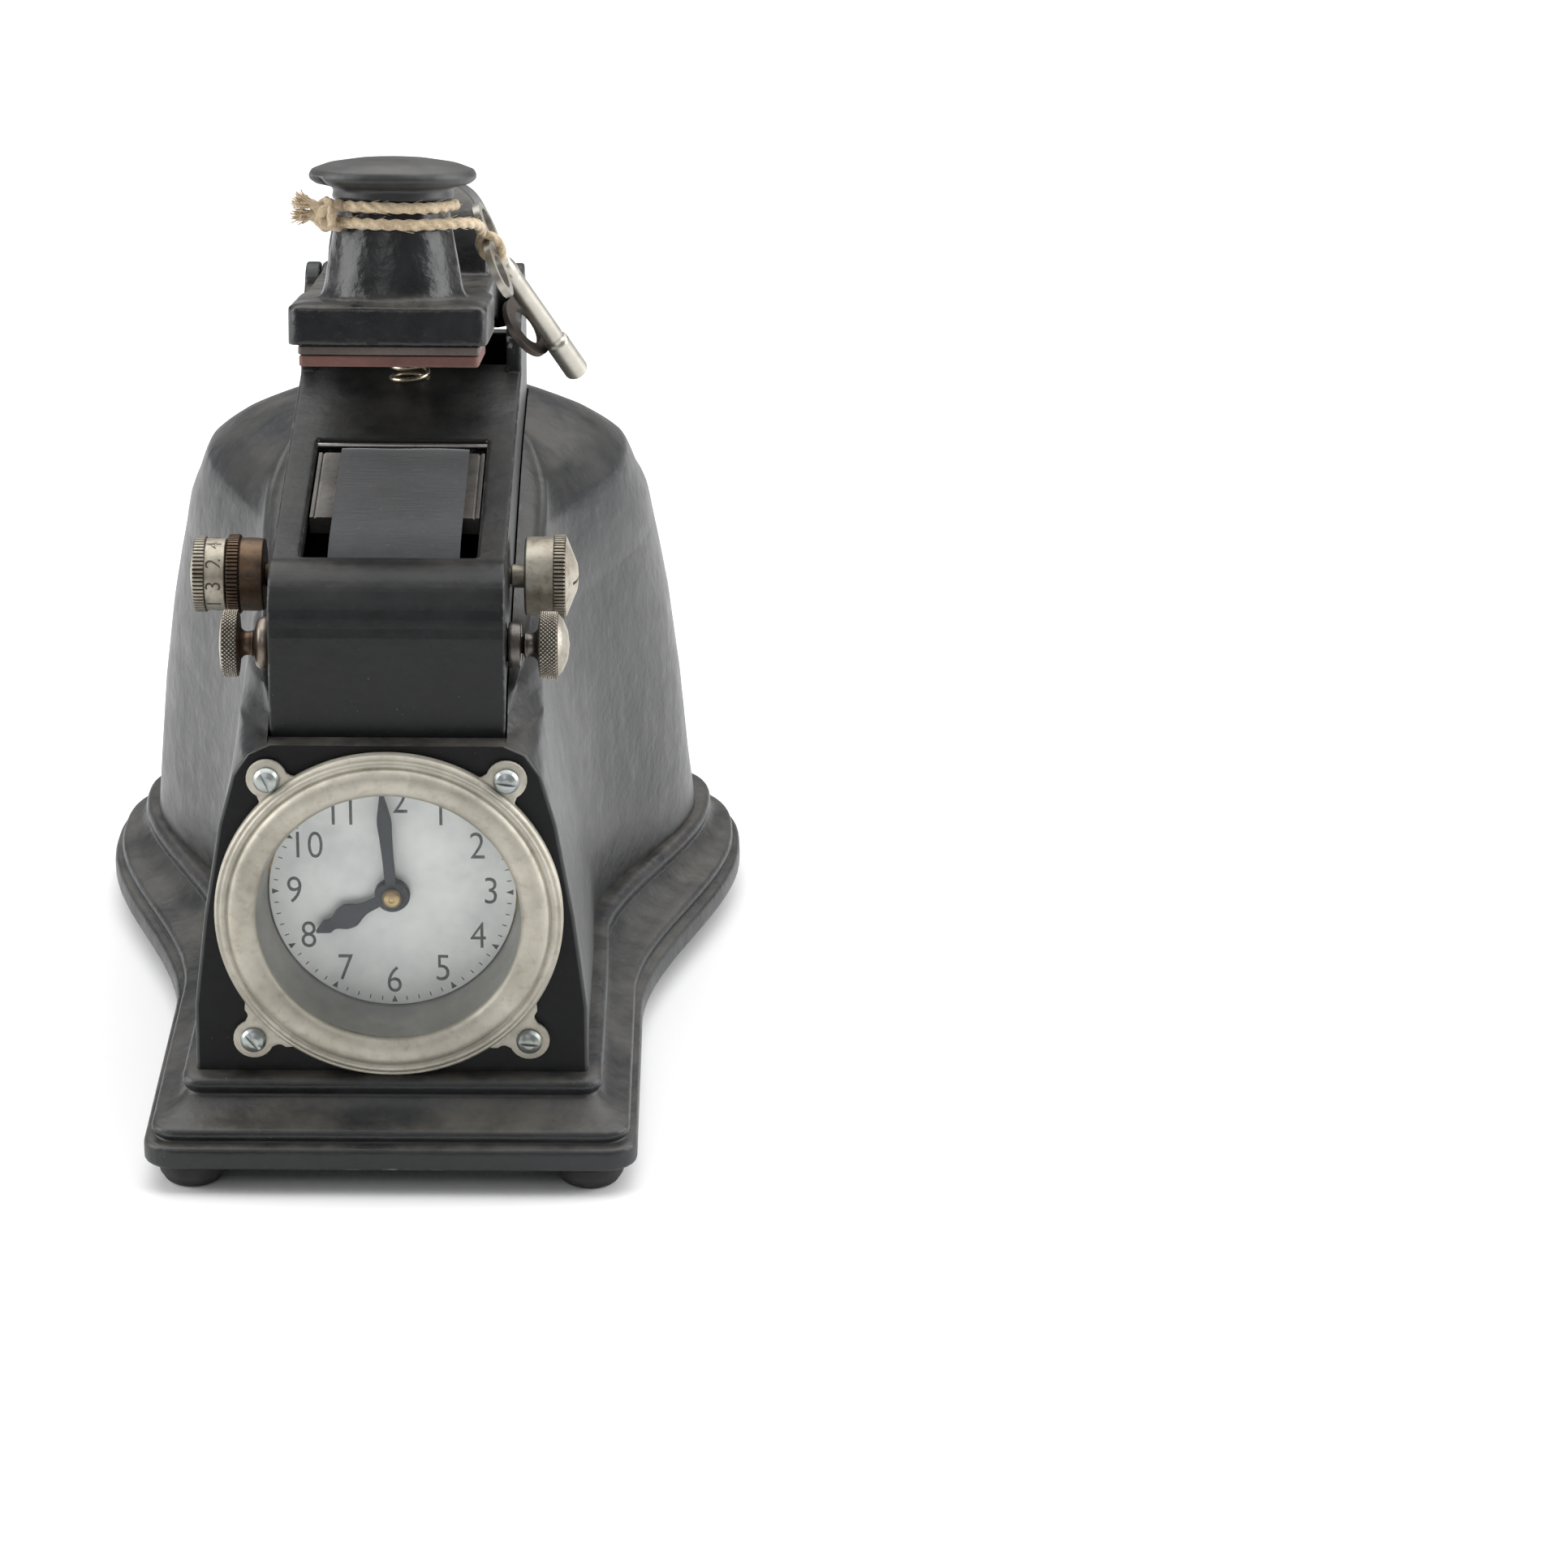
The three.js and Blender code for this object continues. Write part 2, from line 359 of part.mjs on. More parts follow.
// type wheels with raised characters round the rim
function typeWheel(r, n, x0, x1, axis, bore) {
  const pts = [];
  for (let i = 0; i < n; i++) {
    const a = 2 * Math.PI / n;
    for (const [f, q] of [[0.08, r - 1.1], [0.14, r], [0.62, r], [0.68, r - 1.1]])
      pts.push([axis[0] + q * Math.cos((i + f) * a), axis[1] + q * Math.sin((i + f) * a)]);
  }
  return cut(slabX(pts, x0, x1), rodX(bore, x0 - 1, x1 + 1, ...axis, 8));
}
add('day_tens_type_wheel', typeWheel(12.8, 12, -13.2, -7.4, DATE_AXIS, 3.3), 'steel');
add('day_units_type_wheel', typeWheel(12.8, 12, -6.6, -1.4, DATE_AXIS, 1.9), 'steel');
add('month_type_wheel', typeWheel(12.8, 12, 1.4, 12.6, DATE_AXIS, 2.3), 'steel');
add('hour_type_wheel', typeWheel(10.9, 12, -12.0, -6.0, TIME_AXIS, 2.6), 'steel');
add('minute_type_wheel', typeWheel(10.9, 15, 6.0, 12.0, TIME_AXIS, 1.9), 'steel');
add('time_type_arbor', turnX([[0, -26.2], [1.6, -26.2], [1.6, -5.4], [3.2, -5.4], [5.0, -2.6], [1.6, -2.6], [1.6, 26.2], [0, 26.2]], 0, ...TIME_AXIS, 14), 'steel');

// date knobs: two coaxial on the left, one on the right
{
  const [y, z] = DATE_AXIS;
  const outer = solid(turnX([[0, -50.0], [3, -49.8], [9.0, -48.8], [9.0, -41.0], [6.0, -41.0], [6.0, -38.6], [0, -38.6]], 0, y, z, 20))
    .add(solid(slabX(shifted(gear(9.6, 14, 0.45), y, z), -48.8, -46.0)))
    .add(solid(rodX(1.6, -40, -1.2, y, z, 12)));
  add('day_units_knob', shell(outer), 'nickel');
  const inner = solid(turnX([[8.8, -40.6], [9.0, -37.2], [8.8, -31.6], [2.8, -31.6], [2.8, -7.2], [1.9, -7.2], [1.9, -38.2], [6.4, -38.2], [6.4, -40.6], [8.8, -40.6]], 0, y, z, 20))
    .add(solid(slabX(shifted(gear(9.9, 14, 0.45), y, z), -40.6, -37.4)).subtract(solid(rodX(6.4, -42, -38.2, y, z, 24))).subtract(solid(rodX(1.9, -42, -30, y, z, 12))));
  add('day_tens_knob', shell(inner), 'brass');
  const month = solid(turnX([[0, 1.2], [2.0, 1.2], [2.0, 32.2], [9.3, 32.2], [9.4, 42.3], [3, 45.2], [0, 45.4]], 0, y, z, 20))
    .add(solid(slabX(shifted(gear(9.9, 14, 0.45), y, z), 39.3, 42.3)))
    .subtract(solid(block(44.0, 47, y - 9, y + 9, z - 0.4, z + 0.4)));
  add('month_knob', shell(month), 'nickel');
}
// ribbon feed: winding spool with a knob and bushing on each side, supply spool behind
{
  const [y, z] = RIBBON_AXIS;
  add('ribbon_bushing_left', turnX([[2.3, -32.0], [4.6, -32.0], [6.2, -30.9], [6.6, -29.6], [6.4, -28.9], [4.0, -28.9], [4.0, -24.0], [2.3, -24.0], [2.3, -32.0]], 0, y, z, 14), 'nickel');
  add('ribbon_bushing_right', turnX([[2.3, 24.0], [4.0, 24.0], [4.0, 28.9], [5.4, 28.9], [5.6, 29.8], [5.2, 32.0], [2.3, 32.0], [2.3, 24.0]], 0, y, z, 14), 'dark');
  const knob = (s) => [[0, 23.2 * s], [2.0, 23.2 * s], [2.0, 32.3 * s], [4.4, 32.6 * s], [4.0, 34.4 * s], [5.0, 35.6 * s], [8.2, 36.1 * s], [8.2, 40.8 * s], [4.5, 42.9 * s], [0, 43.8 * s]];
  add('ribbon_knob_left', turnX(knob(-1).reverse(), 0, y, z, 16), 'nickel');
  add('ribbon_knob_right', turnX(knob(1), 0, y, z, 16), 'nickel');
  const spool = (x0, x1, r) => [[0, x0 - 4], [1.6, x0 - 4], [1.6, x0], [r, x0], [r, x0 + 1], [7.0, x0 + 1], [7.0, x1 - 1], [r, x1 - 1], [r, x1], [1.6, x1], [1.6, x1 + 4], [0, x1 + 4]];
  const front = spool(-17.2, 18.8, 8.1);
  front[0][1] = -22.9; front[1][1] = -22.9; front[10][1] = 22.9; front[11][1] = 22.9;
  add('ribbon_spool_front', turnX(front, 0, y, z, 14), 'black');
  const rear = spool(-17.2, 18.8, 9.4);
  rear[0][1] = -26.2; rear[1][1] = -26.2; rear[10][1] = 26.2; rear[11][1] = 26.2;
  add('ribbon_spool_rear', turnX(rear, 0, ...SUPPLY_AXIS, 14), 'black');
}
{
  const line = [[90.6, 147.0], [90.2, 152.0], [88.3, 155.4], [84.5, tz(84.5, -4.4)], [82.6, tz(82.6, -2.4)], [80.8, tz(80.8, -1.2)], [46, tz(46, -1.2)],
    [36, tz(36, -1.4)], [29.5, tz(29.5, -2.6)], [26.4, 147.0], [26.6, 139.0], [26.85, 131.5]];
  const up = [], dn = [];
  for (let i = 0; i < line.length; i++) {
    const a = line[Math.max(0, i - 1)], b = line[Math.min(line.length - 1, i + 1)];
    const l = Math.hypot(b[0] - a[0], b[1] - a[1]), nx = -(b[1] - a[1]) / l, nz = (b[0] - a[0]) / l;
    up.push([line[i][0] + nx * 0.16, line[i][1] + nz * 0.16]); dn.push([line[i][0] - nx * 0.16, line[i][1] - nz * 0.16]);
  }
  add('ribbon', slabX([...up, ...dn.reverse()], -15.2, 16.9), 'cloth');
}
add('ribbon_wire', rodX(0.6, -25.9, 25.9, 83.4, tz(83.4, -1.3), 8), 'steel');

// --------------------------------------------------------------- striking arm
add('arm_pivot_pin', turnX([[0, -28.9], [3.6, -28.9], [4.0, -28.5], [4.0, 28.5], [3.6, 28.9], [0, 28.9]], 0, ...PIVOT, 16), 'steel');
const arm = new THREE.Group();
arm.position.set(-0.5, PIVOT[0], PIVOT[1]);
arm.rotation.x = REST_TILT;
root.add(arm);
{
  // cast lever: platen block in front, arched back, pivot barrel at the rear
  const blockGeo = slabZ(roundedRect(-24.4, 24.0, -105.5, -64, 3.2, 3), -3.9, 6.2);
  const neck = turnZ([[0, 3], [19.2, 3], [18.8, 6.6], [17.2, 8.4], [16.4, 11], [13.8, 25], [13.6, 30.2], [0, 30.2]], 0, KNOB_Y, 0, 22);
  // web from the block to the pivot barrel, and the tall rounded boss above the pivot
  const web = slabX([[-70, -3.2], [-30, -3.2], [-14, -5.4], [-6, -7.0], ...arc(0, 0, 8.6, -100, 90, 7), [-8, 9.2], [-20, 7.6], [-70, 6.0]], -22.6, 22.6);
  const boss = slabX([[-30, 2], [7, 2], [9.6, 10], [9.0, 20], [4.0, 28], [-4, 31.4], [-12, 31.2], [-20, 27.6], [-25, 21], [-28, 12]], -20.4, 20.4);
  const form = slabY([[-20.4, 0], [20.4, 0], [20.4, 14], [19.0, 22], [16.0, 27], [11.5, 30.2], [5, 31.6], [-5, 31.6], [-11.5, 30.2], [-16.0, 27], [-19.0, 22], [-20.4, 14]], -35, 14);
  const b = solid(boss).intersect(solid(form)).add(solid(web)).add(solid(blockGeo)).add(solid(neck))
    .subtract(solid(rodX(4.4, -40, 40, 0, 0, 16)));
  add('striking_arm', shell(b), 'casting', arm);
}
add('arm_knob', turnZ([[0, 30.5], [14.7, 30.5], [14.9, 33.2], [19.2, 34.3], [20.6, 36.0], [20.1, 37.5], [15.6, 39.3], [8, 40.3], [0, 40.6]], 0, KNOB_Y, 0, 24), 'black', arm);
add('platen_plate', slabZ(roundedRect(-22.0, 22.0, -103.8, -67, 1, 1), -6.2, -4.2), 'nickel', arm);
add('platen_pad', slabZ(roundedRect(-21.8, 21.8, -103.6, -67.2, 1, 1), -9.1, -6.5), 'red', arm);

// cone spring under the arm (its envelope as one closed coil of wire)
{
  class Cone extends THREE.Curve {
    getPoint(t, o = new THREE.Vector3()) {
      const a = t * 2 * Math.PI * 4.5, r = 4.9 - 1.6 * t;
      return o.set(r * Math.cos(a), r * Math.sin(a), 15.2 * t);
    }
  }
  const wire = new THREE.Shape(circle(0.55, 0, 0, 5).map(([a, b]) => new THREE.Vector2(a, b)));
  const g = new THREE.ExtrudeGeometry(wire, { steps: 36, extrudePath: new Cone(), bevelEnabled: false });
  add('return_spring', g.translate(0.2, 113.8, tz(113.8, 0) + 1.65), 'brass');
}

// ------------------------------------------------------- twine and the two keys
add('twine_loops', turnZ([[14.7, 25.2], [15.1, 24.2], [16.1, 24.0], [16.7, 25.0], [16.7, 29.0], [16.1, 29.9], [15.1, 29.9], [14.6, 29.0], [14.7, 25.2]], 0, KNOB_Y, 0, 20), 'jute', arm);
{
  // knot and its short ends at the front left of the neck
  const g = new THREE.SphereGeometry(1, 12, 8).scale(2.9, 4.2, 3.0);
  add('twine_knot', g.rotateZ(25 * Math.PI / 180).translate(-18.3, KNOB_Y - 8.6, 26.6), 'jute', arm);
}
const TWINE = [[14.0, -94.9, 25.3], [17.2, -90.8, 25.2], [19.8, -86.0, 24.6], [21.1, -81.4, 23.4], [21.3, -77.6, 22.0]];
{
  const path = new THREE.CatmullRomCurve3(TWINE.map((p) => new THREE.Vector3(...p)));
  const s = new THREE.Shape(circle(1.05, 0, 0, 8).map(([a, b]) => new THREE.Vector2(a, b)));
  add('twine_tie', new THREE.ExtrudeGeometry(s, { steps: 8, extrudePath: path, bevelEnabled: false }), 'jute', arm);
}
// winding key: butterfly bow across KEY_B, barrel along KEY_A, hanging beside the block
const KEY_AT = new THREE.Vector3(23.4, 80.0, 212.1);
const KEY_A = new THREE.Vector3(0.392, 0.504, -0.772).normalize();
const KEY_B = new THREE.Vector3(0.214, -0.862, -0.454).normalize();
const KEY_BOW = 15.5, KEY_LENGTH = 51;
{
  arm.updateMatrix();
  const toArm = arm.matrix.clone().invert();
  const place = (at, a, b) => {
    const n = new THREE.Vector3().crossVectors(b, a).normalize();
    return toArm.clone().multiply(new THREE.Matrix4().makeBasis(b, a, n).setPosition(at));
  };
  const oval = (cx, cy, rx, ry, n = 16) => circle(1, 0, 0, n).map(([x, y]) => [cx + rx * x, cy + ry * y]);
  const key = solid(slabZ(oval(-8.2, 0, KEY_BOW - 8.2, 6.2), -0.8, 0.8)).add(solid(slabZ(oval(8.2, 0, KEY_BOW - 8.2, 6.2), -0.8, 0.8)))
    .add(solid(slabZ([[-4, -4.6], [4, -4.6], [4, 5], [2.6, 9], [-2.6, 9], [-4, 5]], -0.8, 0.8)))
    .subtract(solid(slabZ(oval(-8.6, 0, 4.6, 3.7, 12), -2, 2))).subtract(solid(slabZ(oval(8.6, 0, 4.6, 3.7, 12), -2, 2)))
    .add(solid(turnY([[0, 6.5], [2.2, 6.5], [2.7, 8.0], [2.7, 36], [2.3, 36.6], [2.3, 37.4], [3.1, 38], [3.1, KEY_LENGTH], [0, KEY_LENGTH]], 0, 0, 0, 14)))
    .subtract(solid(block(-1.9, 1.9, KEY_LENGTH - 12, KEY_LENGTH + 1, -1.9, 1.9)));
  add('winding_key', shell(key).applyMatrix4(place(KEY_AT, KEY_A, KEY_B)), 'nickel', arm);
  // flat steel ring hung with the key
  const c = new THREE.Vector3(0.55, -0.235, -0.806).normalize();
  const d = new THREE.Vector3(0.336, 0.942, -0.046); d.addScaledVector(c, -d.dot(c)).normalize();
  add('key_ring', slabZ(circle(8.2, 0, 0, 22), -0.8, 0.8, [circle(4.9, 0, 0, 16).reverse()]).applyMatrix4(place(new THREE.Vector3(30.6, 100.4, 185.9), c, d)), 'dark', arm);
}
export default root;
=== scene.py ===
import bpy, bmesh, math, random
from math import sin, cos, pi, radians, hypot, atan2
from mathutils import Vector, Matrix


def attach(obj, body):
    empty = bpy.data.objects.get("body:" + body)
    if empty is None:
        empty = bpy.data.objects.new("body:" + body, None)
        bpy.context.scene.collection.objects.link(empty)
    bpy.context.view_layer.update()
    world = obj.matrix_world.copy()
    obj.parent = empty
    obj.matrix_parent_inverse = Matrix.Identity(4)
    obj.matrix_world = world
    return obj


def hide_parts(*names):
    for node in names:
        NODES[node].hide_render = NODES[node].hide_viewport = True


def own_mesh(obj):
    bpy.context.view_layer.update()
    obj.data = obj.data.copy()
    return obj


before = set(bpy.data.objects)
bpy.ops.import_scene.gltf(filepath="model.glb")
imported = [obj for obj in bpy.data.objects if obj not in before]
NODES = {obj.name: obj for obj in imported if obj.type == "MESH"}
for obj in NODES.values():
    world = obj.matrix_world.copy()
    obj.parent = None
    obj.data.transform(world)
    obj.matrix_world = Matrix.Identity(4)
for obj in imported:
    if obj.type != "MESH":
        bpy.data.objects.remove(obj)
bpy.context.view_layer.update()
SCN = bpy.context.scene
RND = random.Random(7)

# ------------------------------------------------------------------ dimensions
SHIFT_Y = -104.75
CLOCK_Z = 67.0
BEZEL_R, BEZEL_IN = 42.5, 33.6
DIAL_Y, DIAL_R = 14.5, 30.4
TABLE_Y, TABLE_Z, SLOPE = 14.0, 150.0, radians(9)
HEAD_HALF = 28.5
DATE_AXIS, RIBBON_AXIS, SUPPLY_AXIS = (42.0, 139.9), (19.5, 130.2), (98.0, 146.5)
PIVOT, REST_TILT, KNOB_Y = (147.0, 180.5), radians(-11.8), -84.0
SCREWS = [("top_left", -28.9, 102.6, -66), ("top_right", 28.9, 102.6, -8), ("bottom_left", -33.9, 33.7, -50), ("bottom_right", 33.9, 33.7, -5)]


def tz(y, h=0.0):
    return TABLE_Z + math.tan(SLOPE) * (y - TABLE_Y) + h


def W(p):
    return Vector((p[0] * 0.001, (p[1] + SHIFT_Y) * 0.001, p[2] * 0.001))


def A(p):                                       # striking-arm coordinates to the frame, in mm
    return (p[0] - 0.5, PIVOT[0] + p[1] * cos(REST_TILT) - p[2] * sin(REST_TILT), PIVOT[1] + p[1] * sin(REST_TILT) + p[2] * cos(REST_TILT))


# ---------------------------------------------------------------------- camera
F = 6300.0
PITCH, YAW, ROLL = radians(22), radians(0.8), radians(0.65)
DEPTH = F / 5.055


def to_world(v):
    return Vector((cos(YAW) * v[0] - sin(YAW) * v[1], sin(YAW) * v[0] + cos(YAW) * v[1], v[2]))


def to_object(v):
    return Vector((cos(YAW) * v[0] + sin(YAW) * v[1], -sin(YAW) * v[0] + cos(YAW) * v[1], v[2]))


r0, dd, u0 = Vector((1, 0, 0)), Vector((0, cos(PITCH), -sin(PITCH))), Vector((0, sin(PITCH), cos(PITCH)))
rr = cos(ROLL) * r0 + sin(ROLL) * u0
uu = -sin(ROLL) * r0 + cos(ROLL) * u0
eye = to_world((0, 0, CLOCK_Z)) - ((479.5 - 966) * DEPTH / F * rr + (966 - 1127.5) * DEPTH / F * uu + DEPTH * dd)
cam_data = bpy.data.cameras.new("camera")
cam = bpy.data.objects.new("camera", cam_data)
SCN.collection.objects.link(cam)
cx, cy_, cz_ = to_object(rr), to_object(uu), -to_object(dd)
cam.matrix_world = Matrix(((cx.x, cy_.x, cz_.x, 0), (cx.y, cy_.y, cz_.y, 0), (cx.z, cy_.z, cz_.z, 0), (0, 0, 0, 1)))
cam.location = W(to_object(eye))
cam_data.sensor_width = 36
cam_data.lens = 36 * F / 1932
cam_data.clip_start, cam_data.clip_end = 0.05, 60
SCN.camera = cam


# --------------------------------------------------------------- mesh helpers
def raw(name, verts, faces, T=None):
    me = bpy.data.meshes.new(name)
    me.from_pydata([W(T(v)) if T else W(v) for v in verts], [], faces)
    ob = bpy.data.objects.new(name, me)
    SCN.collection.objects.link(ob)
    bm = bmesh.new()
    bm.from_mesh(me)
    bmesh.ops.remove_doubles(bm, verts=bm.verts, dist=2e-6)
    bmesh.ops.recalc_face_normals(bm, faces=bm.faces)
    bm.to_mesh(me)
    bm.free()
    return ob


def apply(ob):
    bpy.context.view_layer.update()
    dg = bpy.context.evaluated_depsgraph_get()
    me = bpy.data.meshes.new_from_object(ob.evaluated_get(dg))
    old = ob.data
    ob.modifiers.clear()
    ob.data = me
    bpy.data.meshes.remove(old)
    return ob


def closed(ob):
    bm = bmesh.new()
    bm.from_mesh(ob.data)
    ok = all(e.is_manifold for e in bm.edges)
    bm.free()
    return ok


def boolean(ob, other, op="DIFFERENCE", solver="MANIFOLD"):
    m = ob.modifiers.new("b", "BOOLEAN")
    m.operation, m.object, m.solver = op, other, solver if closed(ob) and closed(other) else "EXACT"
    apply(ob)
    me = other.data
    bpy.data.objects.remove(other)
    bpy.data.meshes.remove(me)
    return ob


def bevel(ob, width, seg=3, angle=32):
    m = ob.modifiers.new("v", "BEVEL")
    m.width, m.segments, m.limit_method, m.angle_limit = width * 0.001, seg, "ANGLE", radians(angle)
    m.use_clamp_overlap = True
    m.miter_outer = "MITER_ARC" if seg > 1 else "MITER_SHARP"
    return apply(ob)


def remesh(ob, voxel, smooth=4, factor=0.5):
    m = ob.modifiers.new("r", "REMESH")
    m.mode, m.voxel_size = "VOXEL", voxel * 0.001
    if smooth:
        s = ob.modifiers.new("s", "SMOOTH")
        s.factor, s.iterations = factor, smooth
    return apply(ob)


def done(ob, mat, body, nodes=(), sharp=34, weighted=True):
    me = ob.data
    me.materials.clear()
    me.materials.append(mat)
    for p in me.polygons:
        p.material_index = 0
    me.shade_smooth()
    me.set_sharp_from_angle(angle=radians(sharp))
    if weighted:
        m = ob.modifiers.new("n", "WEIGHTED_NORMAL")
        m.keep_sharp = True
        apply(ob)
    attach(ob, body)
    for n in ([nodes] if isinstance(nodes, str) else nodes):
        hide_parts(n)
    return ob


def lathe(name, prof, n=96, axis="Z", c=(0, 0, 0), T=None, rfun=None):
    verts, rings = [], []

    def pt(r, t, a):
        u, v = r * cos(t), r * sin(t)
        if axis == "X":
            p = (a, u, v)
        elif axis == "Y":
            p = (u, a, v)
        else:
            p = (u, v, a)
        return (p[0] + c[0], p[1] + c[1], p[2] + c[2])

    closed = len(prof) > 2 and abs(prof[0][0] - prof[-1][0]) < 1e-9 and abs(prof[0][1] - prof[-1][1]) < 1e-9
    pr = prof[:-1] if closed else prof
    for k, (r, a) in enumerate(pr):
        if r < 1e-6:
            rings.append([len(verts)])
            verts.append(pt(0, 0, a))
        else:
            rings.append(list(range(len(verts), len(verts) + n)))
            for i in range(n):
                t = 2 * pi * i / n
                verts.append(pt(rfun(r, t, a) if rfun else r, t, a))
    faces = []
    pairs = list(zip(rings, rings[1:])) + ([(rings[-1], rings[0])] if closed else [])
    for p, q in pairs:
        for i in range(n):
            j = (i + 1) % n
            if len(p) == 1 and len(q) == 1:
                continue
            if len(p) == 1:
                faces.append((p[0], q[j], q[i]))
            elif len(q) == 1:
                faces.append((p[i], p[j], q[0]))
            else:
                faces.append((p[i], p[j], q[j], q[i]))
    return raw(name, verts, faces, T)


def fillet(pts, r, n=4, closed=False):
    out, m = [], len(pts)
    for i, p in enumerate(pts):
        if not closed and i in (0, m - 1):
            out.append(tuple(p[:2]))
            continue
        rad = p[2] if len(p) > 2 else r
        a, b = pts[i - 1], pts[(i + 1) % m]
        la, lb = hypot(a[0] - p[0], a[1] - p[1]), hypot(b[0] - p[0], b[1] - p[1])
        if rad <= 0 or la < 1e-6 or lb < 1e-6:
            out.append(tuple(p[:2]))
            continue
        d = min(rad, 0.46 * la, 0.46 * lb)
        s = (p[0] + (a[0] - p[0]) / la * d, p[1] + (a[1] - p[1]) / la * d)
        e = (p[0] + (b[0] - p[0]) / lb * d, p[1] + (b[1] - p[1]) / lb * d)
        for k in range(n + 1):
            t = k / n
            out.append(((1 - t) ** 2 * s[0] + 2 * t * (1 - t) * p[0] + t * t * e[0], (1 - t) ** 2 * s[1] + 2 * t * (1 - t) * p[1] + t * t * e[1]))
    return out


def prism(name, pts, a0, a1, axis="Y", T=None):
    """polygon in the plane across an axis, from a0 to a1 along it: X takes (y, z), Y takes (x, z), Z takes (x, y)"""
    def pt(p, a):
        return {"X": (a, p[0], p[1]), "Y": (p[0], a, p[1]), "Z": (p[0], p[1], a)}[axis]
    n = len(pts)
    verts = [pt(p, a0) for p in pts] + [pt(p, a1) for p in pts]
    faces = [tuple(range(n)), tuple(range(2 * n - 1, n - 1, -1))]
    faces += [(i, (i + 1) % n, n + (i + 1) % n, n + i) for i in range(n)]
    return raw(name, verts, faces, T)


def box(name, x0, x1, y0, y1, z0, z1, T=None):
    return prism(name, [(x0, y0), (x1, y0), (x1, y1), (x0, y1)], z0, z1, "Z", T)


def rod(name, r, a0, a1, axis, c, n=48, T=None):
    return lathe(name, [(0, a0), (r, a0), (r, a1), (0, a1)], n, axis, c, T)


def ring_pts(r, n=48, cx=0.0, cy=0.0, ry=None):
    return [(cx + r * cos(2 * pi * i / n), cy + (ry or r) * sin(2 * pi * i / n)) for i in range(n)]


def arc(cx, cy, r, a0, a1, n):
    return [(cx + r * cos(radians(a0 + (a1 - a0) * i / n)), cy + r * sin(radians(a0 + (a1 - a0) * i / n))) for i in range(n + 1)]


def rrect(x0, x1, y0, y1, r, n=6):
    return arc(x1 - r, y1 - r, r, 0, 90, n) + arc(x0 + r, y1 - r, r, 90, 180, n) + arc(x0 + r, y0 + r, r, 180, 270, n) + arc(x1 - r, y0 + r, r, 270, 360, n)


def spline(pts, step):
    """even points along a Catmull-Rom curve"""
    v = [Vector(p) for p in pts]
    v = [2 * v[0] - v[1]] + v + [2 * v[-1] - v[-2]]
    fine = []
    for i in range(1, len(v) - 2):
        p0, p1, p2, p3 = v[i - 1], v[i], v[i + 1], v[i + 2]
        for k in range(24):
            t = k / 24
            fine.append(0.5 * (2 * p1 + (p2 - p0) * t + (2 * p0 - 5 * p1 + 4 * p2 - p3) * t * t + (3 * p1 - p0 - 3 * p2 + p3) * t ** 3))
    fine.append(v[-2])
    length = [0.0]
    for a, b in zip(fine, fine[1:]):
        length.append(length[-1] + (b - a).length)
    count = max(2, int(round(length[-1] / step)))
    out, j = [], 0
    for k in range(count + 1):
        s = length[-1] * k / count
        while j < len(fine) - 2 and length[j + 1] < s:
            j += 1
        t = (s - length[j]) / max(1e-9, length[j + 1] - length[j])
        out.append(fine[j].lerp(fine[j + 1], min(1, max(0, t))))
    return out


def tube(name, path, radius, n=12, T=None, rad=None):
    """tube on a path; rad(s, angle) scales the radius, s the way along in mm"""
    P = [Vector(p) for p in path]
    verts, faces, s = [], [], 0.0
    t_prev = (P[1] - P[0]).normalized()
    up = Vector((0, 0, 1)) if abs(t_prev.z) < 0.9 else Vector((1, 0, 0))
    nrm = (up - t_prev * up.dot(t_prev)).normalized()
    for i, p in enumerate(P):
        t = ((P[min(i + 1, len(P) - 1)] - P[max(i - 1, 0)])).normalized()
        nrm = (nrm - t * nrm.dot(t)).normalized()
        b = t.cross(nrm)
        if i:
            s += (p - P[i - 1]).length
        for k in range(n):
            a = 2 * pi * k / n
            q = radius * (rad(s, a) if rad else 1.0)
            verts.append(tuple(p + nrm * (q * cos(a)) + b * (q * sin(a))))
    for i in range(len(P) - 1):
        for k in range(n):
            k2 = (k + 1) % n
            faces.append((i * n + k, i * n + k2, (i + 1) * n + k2, (i + 1) * n + k))
    faces.append(tuple(range(n - 1, -1, -1)))
    faces.append(tuple(range((len(P) - 1) * n, len(P) * n)))
    return raw(name, verts, faces, T)


def join(objs, name):
    verts, faces = [], []
    for o in objs:
        k = len(verts)
        verts += [tuple(v.co) for v in o.data.vertices]
        faces += [tuple(i + k for i in p.vertices) for p in o.data.polygons]
        me = o.data
        bpy.data.objects.remove(o)
        bpy.data.meshes.remove(me)
    me = bpy.data.meshes.new(name)
    me.from_pydata(verts, [], faces)
    ob = bpy.data.objects.new(name, me)
    SCN.collection.objects.link(ob)
    return ob


def letters(text, size, thin=0.0, depth=0.0):
    """flat outline letters as (verts, faces), centred, in mm"""
    cu = bpy.data.curves.new("t", "FONT")
    cu.body, cu.size, cu.align_x, cu.align_y = text, size, "CENTER", "CENTER"
    cu.offset, cu.extrude, cu.resolution_u = thin, depth, 4
    ob = bpy.data.objects.new("t", cu)
    SCN.collection.objects.link(ob)
    bpy.context.view_layer.update()
    me = bpy.data.meshes.new_from_object(ob.evaluated_get(bpy.context.evaluated_depsgraph_get()))
    v = [tuple(x.co) for x in me.vertices]
    f = [tuple(p.vertices) for p in me.polygons]
    bpy.data.objects.remove(ob)
    bpy.data.curves.remove(cu)
    bpy.data.meshes.remove(me)
    return v, f


